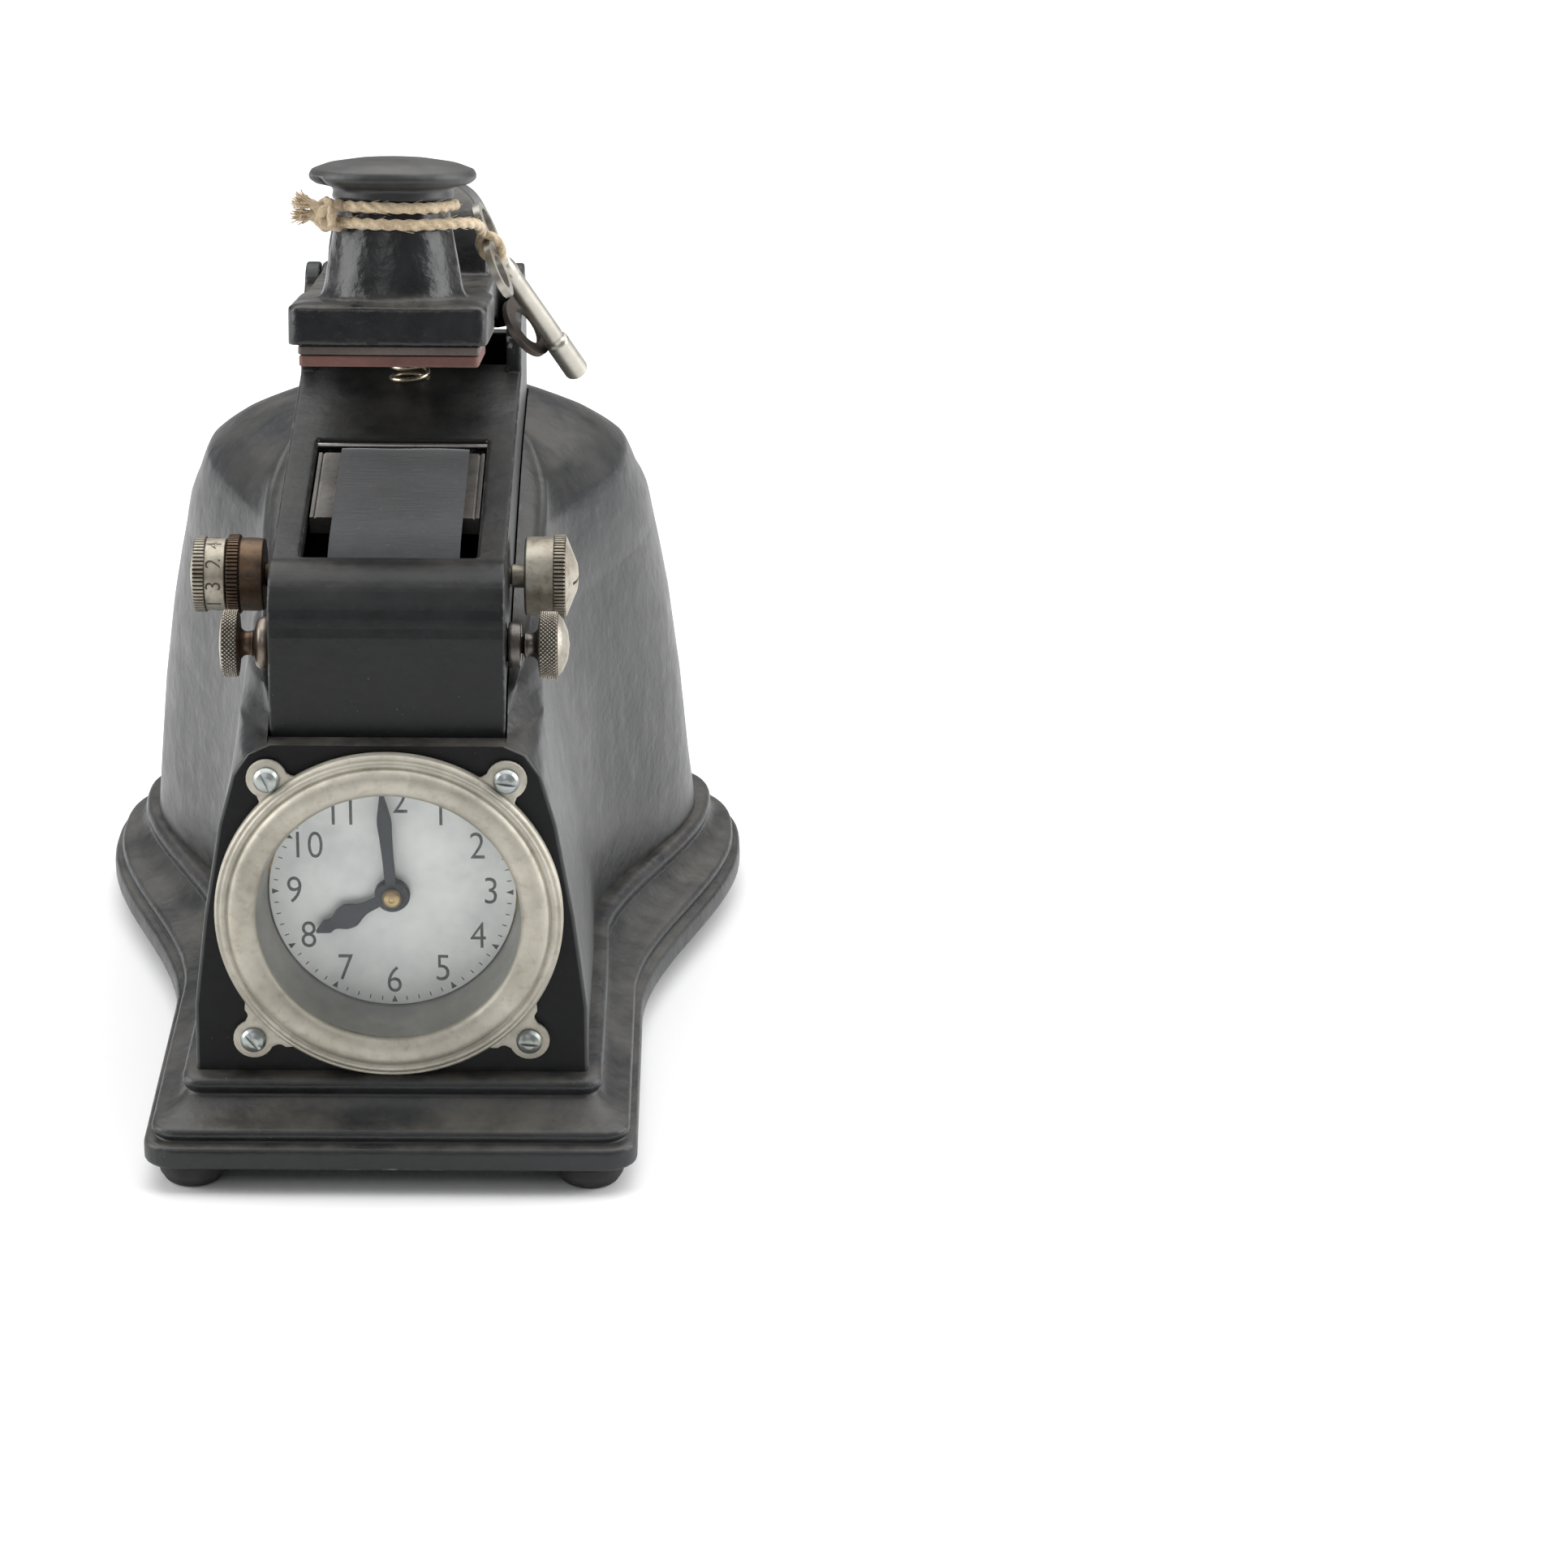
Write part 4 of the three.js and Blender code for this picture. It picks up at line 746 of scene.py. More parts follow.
rows = fine_levels()
housing = loft("housing_shell", rows)
inner_rows = [r for r in rows if 7 <= r[0] <= 150][::5]
inner_rows = [[4.0] + inner_rows[0][1:]] + inner_rows
inner = loft("cavity", inner_rows, inset=4.0, dz=-2.0)
boolean(housing, inner)
seat = prism("seat", rrect(-35.0, 35.2, 34.6, 105.4, 3), 201.5, 210.2, "Y")
lug1 = box("lug", -40.4, -36.6, 203, 213.6, 46, 50)
lug2 = box("lug", -40.4, -36.6, 203, 213.6, 90, 94)
for extra in (seat, bevel(lug1, 0.5, 2), bevel(lug2, 0.5, 2)):
    boolean(housing, extra, "UNION")
for c in (rod("c", 38.4, -10, 30, "Y", (0, 0, CLOCK_Z), 96),
          box("c", -HEAD_HALF - 0.4, HEAD_HALF + 0.4, 6.7, 158.6, 106.4, 175),
          box("c", -HEAD_HALF - 0.4, HEAD_HALF + 0.4, -5, 20, 110.9, 175),
          box("c", -30, 30, 180, 230, 40, 100),
          box("c", -36.2, 36.9, 210.2, 216, 33.2, 107.3),
          rod("c", 3.0, 50, 90, "Z", (-38.4, 211.6, 0), 24),
          rod("c", 1.6, 40, 98, "Z", (-38.4, 211.6, 0), 20)):
    boolean(housing, c)
for _, x, z, _a in SCREWS:
    boolean(housing, rod("c", 1.7, -2, 9, "Y", (x, 0, z), 20))
done(housing, M_CAST, "base", "housing", sharp=40, weighted=False)
# the flat clock panel gets a darker, flatter copy of the casting paint: painted shade
housing.data.materials.append(M_PANEL_SHADED)
for p in housing.data.polygons:
    c = p.center
    if p.normal.y < -0.95 and abs(c.y - (1.0 + SHIFT_Y) * 0.001) < 0.0004 and 0.0245 < c.z < 0.112:
        p.material_index = 1

keep("bottom_plate", M_SHEET)
for n, x, y in (("front_left", -49, -7.4), ("front_right", 49, -7.4), ("rear_left", -58, 182), ("rear_right", 58, 182)):
    f = lathe("rubber_foot_" + n, fillet([(0, 0), (6.8, 0), (8.4, 2.6), (8.0, 5.7), (2.6, 5.7), (2.6, 9.6), (0, 9.6)], 0.7), 64, "Z", (x, y, 0))
    done(f, M_FOOT, "base", "foot_" + n)

# rear door, hinge and lock
door = prism("door_leaf", rrect(-35.9, 36.2, 34, 106, 4), 210.5, 213.0, "Y")
boolean(door, box("c", -37, -33, 205, 220, 40, 100))
bevel(door, 0.6, 3)
knuckle = rod("knuckle", 2.6, 50.4, 89.6, "Z", (-38.4, 211.6, 0), 40)
web = box("web", -38.4, -32, 210.9, 212.3, 50.4, 89.6)
boolean(knuckle, web, "UNION")
boolean(door, knuckle, "UNION")
boolean(door, rod("c", 1.6, 40, 98, "Z", (-38.4, 211.6, 0), 20))
boolean(door, rod("c", 4.8, 205, 220, "Y", (24, 0, 70), 48))
done(door, M_CAST, "door", "rear_door")
pin = lathe("hinge_rod", fillet([(0, 45), (1.3, 45), (1.3, 95), (0, 95)], 0.3), 32, "Z", (-38.4, 211.6, 0))
done(pin, M_STEEL, "base", "rear_door_hinge_pin")
lock = lathe("lock_plug", fillet([(0, 200.6), (2.2, 200.6), (2.2, 209.4), (4.4, 209.4), (4.4, 214.0), (3.8, 214.6), (0, 214.6)], 0.25), 64, "Y", (24, 0, 70))
boolean(lock, bevel(box("cam", 22, 26, 200.4, 202.6, 68, 79), 0.3, 2), "UNION")
boolean(lock, rod("c", 1.3, 211, 216, "Y", (24, 0, 71.2), 24))
boolean(lock, box("c", 23.5, 24.5, 211, 216, 67.4, 71.2))
done(lock, M_LOCK, "door_lock", "rear_door_lock")

# ----------------------------------------------------------------------- clock
bez_prof = [(33.4, 0.7), (32.4, -1.0), (32.2, -2.2), (32.5, -3.0), (33.4, -3.7), (34.6, -4.1), (35.8, -4.25), (37.0, -4.2), (38.0, -3.85), (38.7, -3.3), (39.1, -2.7), (39.3, -2.35),
            (39.55, -2.3), (39.9, -2.55), (40.5, -2.6), (41.0, -2.35), (41.2, -1.95), (41.45, -1.85), (41.9, -1.9), (42.3, -1.55), (BEZEL_R, -1.0), (BEZEL_R, 0.7), (33.4, 0.7)]
bezel = lathe("bezel_ring", bez_prof, 160, "Y", (0, 0, CLOCK_Z))
for _, x, z, _a in SCREWS:
    d = hypot(x, z - CLOCK_Z)
    ux, uz = x / d, (z - CLOCK_Z) / d

    def put(u, w):                                          # u outwards from the screw, w across
        return (x + ux * u - uz * w, z + uz * u + ux * w)
    lobe = [(5.0 * cos(radians(a)), 5.0 * sin(radians(a))) for a in range(-112, 113, 14)]
    side = [(-2.4, 4.9), (-3.2, 5.1), (-3.8, 5.8), (-4.1, 7.0), (-4.7, 7.6), (-5.7, 8.4), (-6.5, 9.8), (-7.8, 11.8), (-9.8, 13.8)]
    pts = [(u, w) for u, w in lobe] + side + [(u, -w) for u, w in side[::-1]]
    ear = prism("ear", [put(u, w) for u, w in pts], -0.55, 0.7, "Y")
    bevel(ear, 0.28, 2)
    boolean(bezel, ear, "UNION")
    boolean(bezel, rod("c", 1.9, -3, 3, "Y", (x, 0, z), 32))
done(bezel, M_BEZEL, "base", "clock_bezel", sharp=42, weighted=False)
for n, x, z, ang in SCREWS:
    s = lathe("dome_screw_" + n, fillet([(0, -3.0), (1.3, -2.85), (2.5, -2.2), (3.2, -1.25), (3.25, -0.75), (1.3, -0.7), (1.3, 8.0), (0, 8.0)], 0.2), 56, "Y", (x, 0, z))
    slot = box("c", -4, 4, -3.6, -2.1, -0.42, 0.42)
    slot.data.transform(Matrix.Translation(W((x, 0, z)) - W((0, 0, 0))) @ Matrix.Translation(W((0, 0, 0))) @ Matrix.Rotation(radians(-ang), 4, "Y") @ Matrix.Translation(-W((0, 0, 0))))
    boolean(s, slot)
    done(s, M_SCREW, "base", "bezel_screw_" + n, sharp=38)
g = lathe("watch_glass", fillet([(0, 0.75), (20, 0.85), (36.0, 1.1), (36.4, 1.3), (36.4, 2.2), (20, 1.9), (0, 1.8)], 0.2), 128, "Y", (0, 0, CLOCK_Z))
done(g, M_GLASS, "base", "clock_glass")
sur = lathe("reflector_cone", [(34.0, 2.8), (36.2, 2.8), (35.6, 6.0), (34.4, 10.5), (32.6, 16.4), (32.4, 16.8), (30.9, 16.8), (30.75, 16.2), (30.8, 14.2), (31.0, 13.9), (32.2, 9.6), (33.3, 6.0), (34.0, 2.8)], 128, "Y", (0, 0, CLOCK_Z))
done(sur, M_TIN, "base", "dial_surround", sharp=50)
dial = lathe("dial_disc", fillet([(2.4, DIAL_Y), (DIAL_R, DIAL_Y), (DIAL_R, DIAL_Y + 0.8), (2.4, DIAL_Y + 0.8), (2.4, DIAL_Y)], 0.1), 128, "Y", (0, 0, CLOCK_Z))
done(dial, M_DIAL, "base", "dial")
INK_Y = DIAL_Y - 0.03
parts = []
for h in range(1, 13):
    v, f = letters(str(h), 10.2, thin=-0.06)
    a = radians(30 * h)
    ox, oz = 24.2 * sin(a), CLOCK_Z + 24.0 * cos(a)
    squeeze = 0.84
    parts.append(([(ox + x * squeeze, INK_Y, oz + y) for x, y, _ in v], f))
for k in range(60):
    a = radians(6 * k)
    if k % 5:
        pts = [(-0.13, 28.3), (0.13, 28.3), (0.13, 29.4), (-0.13, 29.4)]
    else:
        pts = [(0.0, 27.9), (0.72, 29.7), (-0.72, 29.7)]
    parts.append(([(w * cos(a) + r * sin(a), INK_Y, CLOCK_Z - w * sin(a) + r * cos(a)) for w, r in pts], [tuple(range(len(pts)))]))
marks = gathered("dial_numerals", parts)
m = marks.modifiers.new("s", "SOLIDIFY")
m.thickness, m.offset = 0.00002, 0
apply(marks)
done(marks, M_DIALINK, "base", (), weighted=False)


def turned(ob, ang):
    c = W((0, 0, CLOCK_Z))
    ob.data.transform(Matrix.Translation(c) @ Matrix.Rotation(ang, 4, "Y") @ Matrix.Translation(-c))
    return ob


hour_pts = fillet([(x * 1.12, z * 1.06) for x, z in [(-1.1, 2.0), (-1.3, 7.4), (-1.9, 9.0), (-2.9, 11.0), (-2.6, 13.4), (-1.5, 15.2), (-1.25, 16.2), (-1.7, 17.2), (-0.25, 20.2),
                                                     (0.25, 20.2), (1.7, 17.2), (1.25, 16.2), (1.5, 15.2), (2.6, 13.4), (2.9, 11.0), (1.9, 9.0), (1.3, 7.4), (1.1, 2.0)]], 0.8, 3)
hh = prism("spade_hand", [(x, CLOCK_Z + z) for x, z in hour_pts], 12.2, 12.9, "Y")
boolean(hh, rod("c", 4.4, 12.2, 12.9, "Y", (0, 0, CLOCK_Z), 64), "UNION")
boolean(hh, rod("c", 2.1, 10, 15, "Y", (0, 0, CLOCK_Z), 40))
done(turned(bevel(hh, 0.14, 2), radians(-118)), M_BLUE, "hour_tube", "hour_hand")
mh = prism("long_hand", [(x, CLOCK_Z + z) for x, z in fillet([(-1.35, 2), (-1.4, 10), (-1.6, 16), (-1.85, 20), (-1.3, 23.2), (-0.5, 27.0), (0.5, 27.0), (1.3, 23.2), (1.85, 20), (1.6, 16), (1.4, 10), (1.35, 2)], 1.0, 3)], 10.8, 11.5, "Y")
boolean(mh, rod("c", 3.9, 10.8, 11.5, "Y", (0, 0, CLOCK_Z), 64), "UNION")
boolean(mh, rod("c", 1.5, 9, 13, "Y", (0, 0, CLOCK_Z), 40))
done(turned(bevel(mh, 0.14, 2), radians(-4.5)), M_BLUE, "minute_arbor", "minute_hand")
nut = lathe("domed_nut", fillet([(0, 9.1), (0.6, 9.1), (0.8, 8.9), (1.9, 9.2), (2.4, 9.8), (2.4, 10.5), (0, 10.5)], 0.25), 48, "Y", (0, 0, CLOCK_Z))
done(nut, M_NUT, "minute_arbor", "hand_nut")

for n in ("movement_front_plate", "movement_back_plate", "mainspring_barrel", "center_wheel", "third_wheel", "escape_wheel", "balance_wheel"):
    keep(n, M_BRASS)
for n in ("winding_arbor", "center_arbor", "type_drive_shaft", "time_type_arbor"):
    keep(n, M_STEEL)
for n in ("day_tens_type_wheel", "day_units_type_wheel", "month_type_wheel", "hour_type_wheel", "minute_type_wheel"):
    keep(n, M_TYPE)

# ------------------------------------------------------------------- type head
head_prof = [(7, 108.2), (158.2, 108.2), (158.2, 176)] + arc(PIVOT[0], PIVOT[1], 8.4, -10, 150, 18) + \
    fillet([(PIVOT[0] + 8.4 * cos(radians(150)), PIVOT[1] + 8.4 * sin(radians(150))), (131, 181.5), (124.5, 180.0), (122.4, 177.5), (122.2, tz(122.2))], 2.0, 4)[1:] + \
    [(22.0, tz(22.0))] + arc(21.0, 138.0, 13.6, 100, 178, 16) + [(7, 136)]
head = prism("head_box", head_prof, -HEAD_HALF, HEAD_HALF, "X")
gap = prism("c", [(121.6, tz(121.6)), (127, tz(127)), (127, 110), (154.4, 110), (154.4, 168), (170, 168), (170, 240), (121.6, 240)], -24.6, 24.6, "X")
boolean(head, gap)
window = prism("c", [(23, 120), (84.6, 120), (84.6, 190), (23, 190)], -21.3, 21.3, "X")
boolean(head, window)
bevel(head, 0.75, 3, 34)
side_in = [(11, 100), (154.4, 100), (154.4, 160), (127, 160), (127, tz(127, -3.6)), (24, tz(24, -3.6)), (16, 146.2), (12.4, 142), (11, 137)]
boolean(head, prism("c", side_in, -24.6, 24.6, "X"))
for c in (rod("c", 3.3, -40, -20, "X", (0, *DATE_AXIS), 48), rod("c", 3.0, 20, 40, "X", (0, *DATE_AXIS), 48), rod("c", 4.3, -40, 40, "X", (0, *RIBBON_AXIS), 48),
          rod("c", 4.3, -40, 40, "X", (0, *PIVOT), 48), rod("c", 0.9, -26.2, 26.2, "X", (0, 83.4, tz(83.4, -1.3)), 16)):
    boolean(head, c)


def dice(ob, step):
    """splits large faces on a grid"""
    bm = bmesh.new()
    bm.from_mesh(ob.data)
    lo = [min(v.co[i] for v in bm.verts) for i in range(3)]
    hi = [max(v.co[i] for v in bm.verts) for i in range(3)]
    for ax in range(3):
        n = int((hi[ax] - lo[ax]) / (step * 0.001))
        for k in range(1, n + 1):
            co, no = [0, 0, 0], [0, 0, 0]
            co[ax], no[ax] = lo[ax] + (k - 0.37) * (hi[ax] - lo[ax]) / (n + 0.2), 1
            bmesh.ops.bisect_plane(bm, geom=bm.verts[:] + bm.edges[:] + bm.faces[:], dist=1e-6, plane_co=co, plane_no=no)
    bm.to_mesh(ob.data)
    bm.free()
    return ob


dice(head, 2.2)
done(head, M_HEAD, "base", "type_head", sharp=38)


def bar(x0, x1, y0, y1, top=-1.7, low=-6.0):
    return prism("bar", [(y0, tz(y0, low)), (y1, tz(y1, low)), (y1, tz(y1, top)), (y0, tz(y0, top))], x0, x1, "X")


bed = bar(-20.9, -14.6, 46.3, 80.4)
for b in (bar(14.6, 20.9, 46.3, 80.4), bar(-15, 15, 77.6, 80.4)):
    boolean(bed, b, "UNION")
for x in (-19.6, 19.6):                                      # milled lines along the side strips
    boolean(bed, prism("c", [(40, tz(40, -2.0)), (90, tz(90, -2.0)), (90, tz(90, 0)), (40, tz(40, 0))], x - 0.25, x + 0.25, "X"))
bevel(bed, 0.25, 2)
done(bed, M_TYPE, "base", "type_block")
wire = rod("guide_wire", 0.6, -25.9, 25.9, "X", (0, 83.4, tz(83.4, -1.3)), 24)
done(wire, M_STEEL, "base", "ribbon_wire")

# inked ribbon: over the wire and the type bed, then down to the winding spool
line = [(90.6, 147.0), (90.2, 152.0), (88.3, 155.4), (84.5, tz(84.5, -4.4)), (82.6, tz(82.6, -2.4)), (80.8, tz(80.8, -1.2)), (70, tz(70, -1.25)), (58, tz(58, -1.2)), (46, tz(46, -1.2)),
        (36, tz(36, -1.4)), (29.5, tz(29.5, -2.6)), (26.4, 147.0), (26.6, 139.0), (26.85, 131.5)]
centre = spline([(0, y, z) for y, z in line], 0.8)
cols_n, verts, faces = 40, [], []
for i, p in enumerate(centre):
    for k in range(cols_n + 1):
        u = k / cols_n
        x = -15.2 + 32.1 * u
        ripple = 0.16 * sin(u * 9.0 + i * 0.06) * (0.35 + 0.65 * sin(i * 0.05) ** 2)
        curl = 0.35 * (abs(2 * u - 1) ** 6)
        t = (centre[min(i + 1, len(centre) - 1)] - centre[max(i - 1, 0)]).normalized()
        n = Vector((0, -t.z, t.y))
        if n.z < 0 and abs(n.z) > 0.2:
            n = -n
        q = p + n * (ripple * 0.5 - curl * 0.4) * (1 if i > 8 else 0)
        verts.append((x, q.y, q.z))
for i in range(len(centre) - 1):
    for k in range(cols_n):
        a = i * (cols_n + 1) + k
        faces.append((a, a + 1, a + cols_n + 2, a + cols_n + 1))
rib = raw("ink_ribbon", verts, faces)
m = rib.modifiers.new("s", "SOLIDIFY")
m.thickness, m.offset = 0.00022, 0
apply(rib)
done(rib, M_CLOTH, "base", "ribbon", sharp=60, weighted=False)
for n in ("ribbon_spool_front", "ribbon_spool_rear"):
    keep(n, M_SPOOL)


# ----------------------------------------------------------------------- knobs
def serration(teeth, depth, flat=0.5):
    def f(r, t, a):
        w = (t * teeth / (2 * pi)) % 1.0
        k = 1.0 if w < flat else 0.0
        return r - depth * (1 - k)
    return f


def knurl(R, x0, x1, depth, count, rows, n, c, name):
    """diamond knurl as a band; the ends close inwards"""
    verts, faces = [], []
    width = x1 - x0
    for j in range(rows + 1):
        s = j / rows
        for i in range(n):
            t = 2 * pi * i / n
            a = (t * count / (2 * pi) + s * width * count / (2 * pi * R)) % 1.0
            b = (t * count / (2 * pi) - s * width * count / (2 * pi * R)) % 1.0
            h = min(1.0, 2.3 * min(min(a, 1 - a), min(b, 1 - b)) * 1.9)
            r = R - depth * (1 - h) - (0.35 if j in (0, rows) else 0)
            verts.append((x0 + width * s, c[0] + r * cos(t), c[1] + r * sin(t)))
    for j in range(rows):
        for i in range(n):
            k = (i + 1) % n
            faces.append((j * n + i, j * n + k, (j + 1) * n + k, (j + 1) * n + i))
    m0 = len(verts)
    verts += [(x0, c[0], c[1]), (x1, c[0], c[1])]
    for i in range(n):
        k = (i + 1) % n
        faces.append((m0, k, i))
        faces.append((m0 + 1, rows * n + i, rows * n + k))
    return raw(name, verts, faces)


def drum_text(items, R, x0, axis, body, mat, name, turned_left=True):
    parts = []
    for s, size, phi in items:
        v, f = letters(s, size, thin=-0.02)
        out = []
        for x, y, _ in v:
            if turned_left:                                  # letters lie on their side, tops to the left
                px, ph = x0 - y, phi + x / R
            else:
                px, ph = x0 + x, phi + y / R
            out.append((px, axis[0] - R * cos(ph), axis[1] + R * sin(ph)))
        parts.append((out, f))
    ob = gathered(name, parts)
    md = ob.modifiers.new("s", "SOLIDIFY")
    md.thickness, md.offset = 0.00005, 0
    apply(ob)
    return done(ob, mat, body, (), weighted=False)


y_, z_ = DATE_AXIS
cap = lathe("units_cap", fillet([(0, -50.0), (2.2, -49.9), (8.6, -48.9), (9.0, -48.5), (9.0, -48.0), (0, -48.0)], 0.4), 96, "X", (0, y_, z_))
ser = lathe("units_ring", [(0, -48.8), (9.1, -48.8), (9.45, -48.5), (9.45, -46.2), (9.1, -45.9), (0, -45.9)], 58 * 6, "X", (0, y_, z_), rfun=lambda r, t, a: r - (0.42 if r > 9.3 and (t * 58 / (2 * pi)) % 1.0 > 0.55 else 0))
drum = lathe("units_drum", fillet([(0, -46.2), (8.7, -46.2), (8.85, -45.9), (8.85, -41.2), (8.6, -41.0), (6.0, -41.0), (6.0, -38.6), (1.6, -38.6), (1.6, -1.2), (0, -1.2)], 0.2), 96, "X", (0, y_, z_))
done(join([cap, ser, drum], "units_dial"), M_KNICK, "day_units", "day_units_knob")
digits = [(str(k), 5.4, radians(-72 + 36 * i)) for i, k in enumerate([5, 1, 3, 2, 4, 6, 7, 8, 9, 0])]
drum_text(digits, 8.865, -43.6, DATE_AXIS, "day_units", M_INKB, "units_figures", True)

ser = lathe("tens_ring", [(6.4, -40.6), (9.5, -40.6), (9.85, -40.3), (9.85, -37.8), (9.5, -37.5), (6.4, -37.5), (6.4, -40.6)], 62 * 6, "X", (0, y_, z_), rfun=lambda r, t, a: r - (0.42 if r > 9.7 and (t * 62 / (2 * pi)) % 1.0 > 0.55 else 0))
drum = lathe("tens_drum", fillet([(1.9, -38.1), (6.5, -38.1), (8.9, -37.7), (9.0, -37.2), (8.85, -31.9), (8.5, -31.6), (2.8, -31.6), (2.8, -7.2), (1.9, -7.2), (1.9, -38.1)], 0.25), 96, "X", (0, y_, z_))
done(join([ser, drum], "tens_dial"), M_KBRASS, "day_tens", "day_tens_knob")
drum_text([(str(k), 5.0, radians(18 + 90 * i)) for i, k in enumerate([0, 1, 2, 3])], 8.98, -34.4, DATE_AXIS, "day_tens", M_INKB, "tens_figures", True)

drum = lathe("month_drum", fillet([(0, 1.2), (2.0, 1.2), (2.0, 28.8), (2.9, 28.9), (2.9, 32.2), (9.2, 32.2), (9.7, 32.6), (9.8, 39.6), (0, 39.6)], 0.25), 96, "X", (0, y_, z_))
ser = lathe("month_ring", [(0, 39.3), (10.0, 39.3), (10.35, 39.6), (10.35, 42.0), (10.0, 42.3), (0, 42.3)], 66 * 6, "X", (0, y_, z_), rfun=lambda r, t, a: r - (0.42 if r > 10.2 and (t * 66 / (2 * pi)) % 1.0 > 0.55 else 0))
cap = lathe("month_cap", fillet([(0, 42.0), (9.7, 42.0), (9.8, 42.4), (3.2, 45.1), (0, 45.4)], 0.5), 96, "X", (0, y_, z_))
slot_cut = box("c", 44.1, 47, y_ - 9, y_ + 9, z_ - 0.4, z_ + 0.4)
boolean(cap, slot_cut)
done(join([drum, ser, cap], "month_dial"), M_MONTH, "month", "month_knob")
months = ["JAN", "FEB", "MAR", "APR", "MAY", "JUN", "JUL", "AUG", "SEP", "OCT", "NOV", "DEC"]
drum_text([(s, 3.5, radians(22 + 30 * (7 - i))) for i, s in enumerate(months)], 9.36, 36.0, DATE_AXIS, "month", M_INKB, "month_names", False)

y_, z_ = RIBBON_AXIS
bl = lathe("left_collar", fillet([(2.3, -32.6), (4.0, -32.6), (5.4, -32.2), (6.3, -31.3), (6.6, -30.1), (6.2, -28.9), (4.0, -28.9), (4.0, -24.0), (2.3, -24.0), (2.3, -32.6)], 0.5), 80, "X", (0, y_, z_))
done(bl, M_COLLAR, "base", "ribbon_bushing_left")
br = lathe("right_collar", fillet([(2.3, 24.0), (4.0, 24.0), (4.0, 28.9), (5.4, 28.9), (5.6, 29.8), (5.2, 32.0), (2.3, 32.0), (2.3, 24.0)], 0.4), 80, "X", (0, y_, z_))
done(br, M_DARKST, "base", "ribbon_bushing_right")
for s, side, mt in ((-1, "left", M_KBRASS), (1, "right", M_DARKST)):
    stem = lathe("stem", fillet([(0, 23.2 * s), (2.0, 23.2 * s), (2.0, 32.4 * s), (3.3, 32.9 * s), (2.9, 33.8 * s), (2.9, 35.0 * s), (3.8, 36.0 * s), (7.0, 36.4 * s), (7.4, 36.9 * s), (0, 36.9 * s)], 0.6), 72, "X", (0, y_, z_))
    done(stem, mt, "ribbon_wind", ())
    stem.name = "feed_stem_" + side
    end = 40.2 if s < 0 else 40.9
    band = knurl(8.2, min(36.5 * s, end * s), max(36.5 * s, end * s), 0.55, 50, 26, 50 * 10, RIBBON_AXIS, "band")
    rise = [(7.7, end), (6.4, end + 1.2), (3.6, end + 2.4), (0, end + 2.9)] if s > 0 else [(7.7, end), (6.6, end + 0.35), (3.6, end + 0.75), (0, end + 0.9)]
    dome = lathe("dome", fillet([(0, (end - 0.7) * s), (7.6, (end - 0.7) * s)] + [(r, a * s) for r, a in rise], 0.6), 80, "X", (0, y_, z_))
    done(join([band, dome], "feed_wheel_" + side), M_FEED, "ribbon_wind", "ribbon_knob_" + side)

# ----------------------------------------------------------------- striking arm
pivot = lathe("pivot_pin", fillet([(0, -28.9), (3.6, -28.9), (4.0, -28.5), (4.0, 28.5), (3.6, 28.9), (0, 28.9)], 0.3), 64, "X", (0, *PIVOT))
done(pivot, M_DARKST, "base", "arm_pivot_pin")
blk = prism("platen_block", rrect(-24.4, 24.0, -105.5, -64, 3.4), -3.9, 5.2, "Z", A)
crown = []
for zz, inset in ((5.0, 0.0), (5.5, 0.3), (5.9, 1.4), (6.2, 3.6), (6.4, 6.2)):
    crown.append((zz, [(x, y) for x, y in rrect(-24.4 + inset, 24.0 - inset, -105.5 + inset, -64 - inset * 0.3, max(0.8, 3.4 - inset * 0.2))]))
cn = len(crown[0][1])
cv = [(x, y, zz) for zz, r in crown for x, y in r]
cf = [(k * cn + i, k * cn + (i + 1) % cn, (k + 1) * cn + (i + 1) % cn, (k + 1) * cn + i) for k in range(len(crown) - 1) for i in range(cn)]
cf += [tuple(range(cn - 1, -1, -1)), tuple(range((len(crown) - 1) * cn, len(crown) * cn))]
neck = lathe("neck", fillet([(0, 3), (19.2, 3), (18.7, 6.0), (17.5, 7.4), (16.9, 9.5), (16.2, 14.0), (15.3, 19.0), (14.3, 24.5), (13.7, 30.2), (0, 30.2)], 1.4), 96, "Z", (0, KNOB_Y, 0), A)
web = prism("web", [(-70, -3.2), (-30, -3.2), (-14, -5.4), (-6, -7.0)] + arc(0, 0, 8.6, -100, 90, 20) + [(-8, 9.2), (-20, 7.6), (-70, 6.0)], -22.6, 22.6, "X", A)
boss = prism("boss", fillet([(-30, 2), (7, 2), (9.6, 10), (9.0, 20), (4.0, 28), (-4, 31.4), (-12, 31.2), (-20, 27.6), (-25, 21), (-28, 12)], 4, 5, True), -20.4, 20.4, "X", A)
form = prism("c", fillet([(-20.4, 0), (20.4, 0), (20.4, 14), (19.0, 22), (16.0, 27), (11.5, 30.2), (5, 31.6), (-5, 31.6), (-11.5, 30.2), (-16.0, 27), (-19.0, 22), (-20.4, 14)], 3, 4, True), -35, 14, "Y", A)
boolean(boss, form, "INTERSECT")
hub = rod("hub", 8.3, -23.7, 24.7, "X", (0, 0, 0), 64, A)
arm = join([blk, raw("crown", cv, cf, A), neck, web, boss, hub], "cast_lever")
remesh(arm, 0.62, 4, 0.5)
boolean(arm, rod("c", 4.4, -40, 40, "X", (0, 0, 0), 64, A))
done(arm, M_ARM, "arm", "striking_arm", sharp=60, weighted=False)
# near-black patch on the block's front where a notch shows as shade: painted shade
notch_shade_patch = box("block_notch_shade", -5.2, -2.6, -105.62, -105.2, -3.4, -1.8, A)
done(notch_shade_patch, M_NOTCH_SHADE, "arm", ())

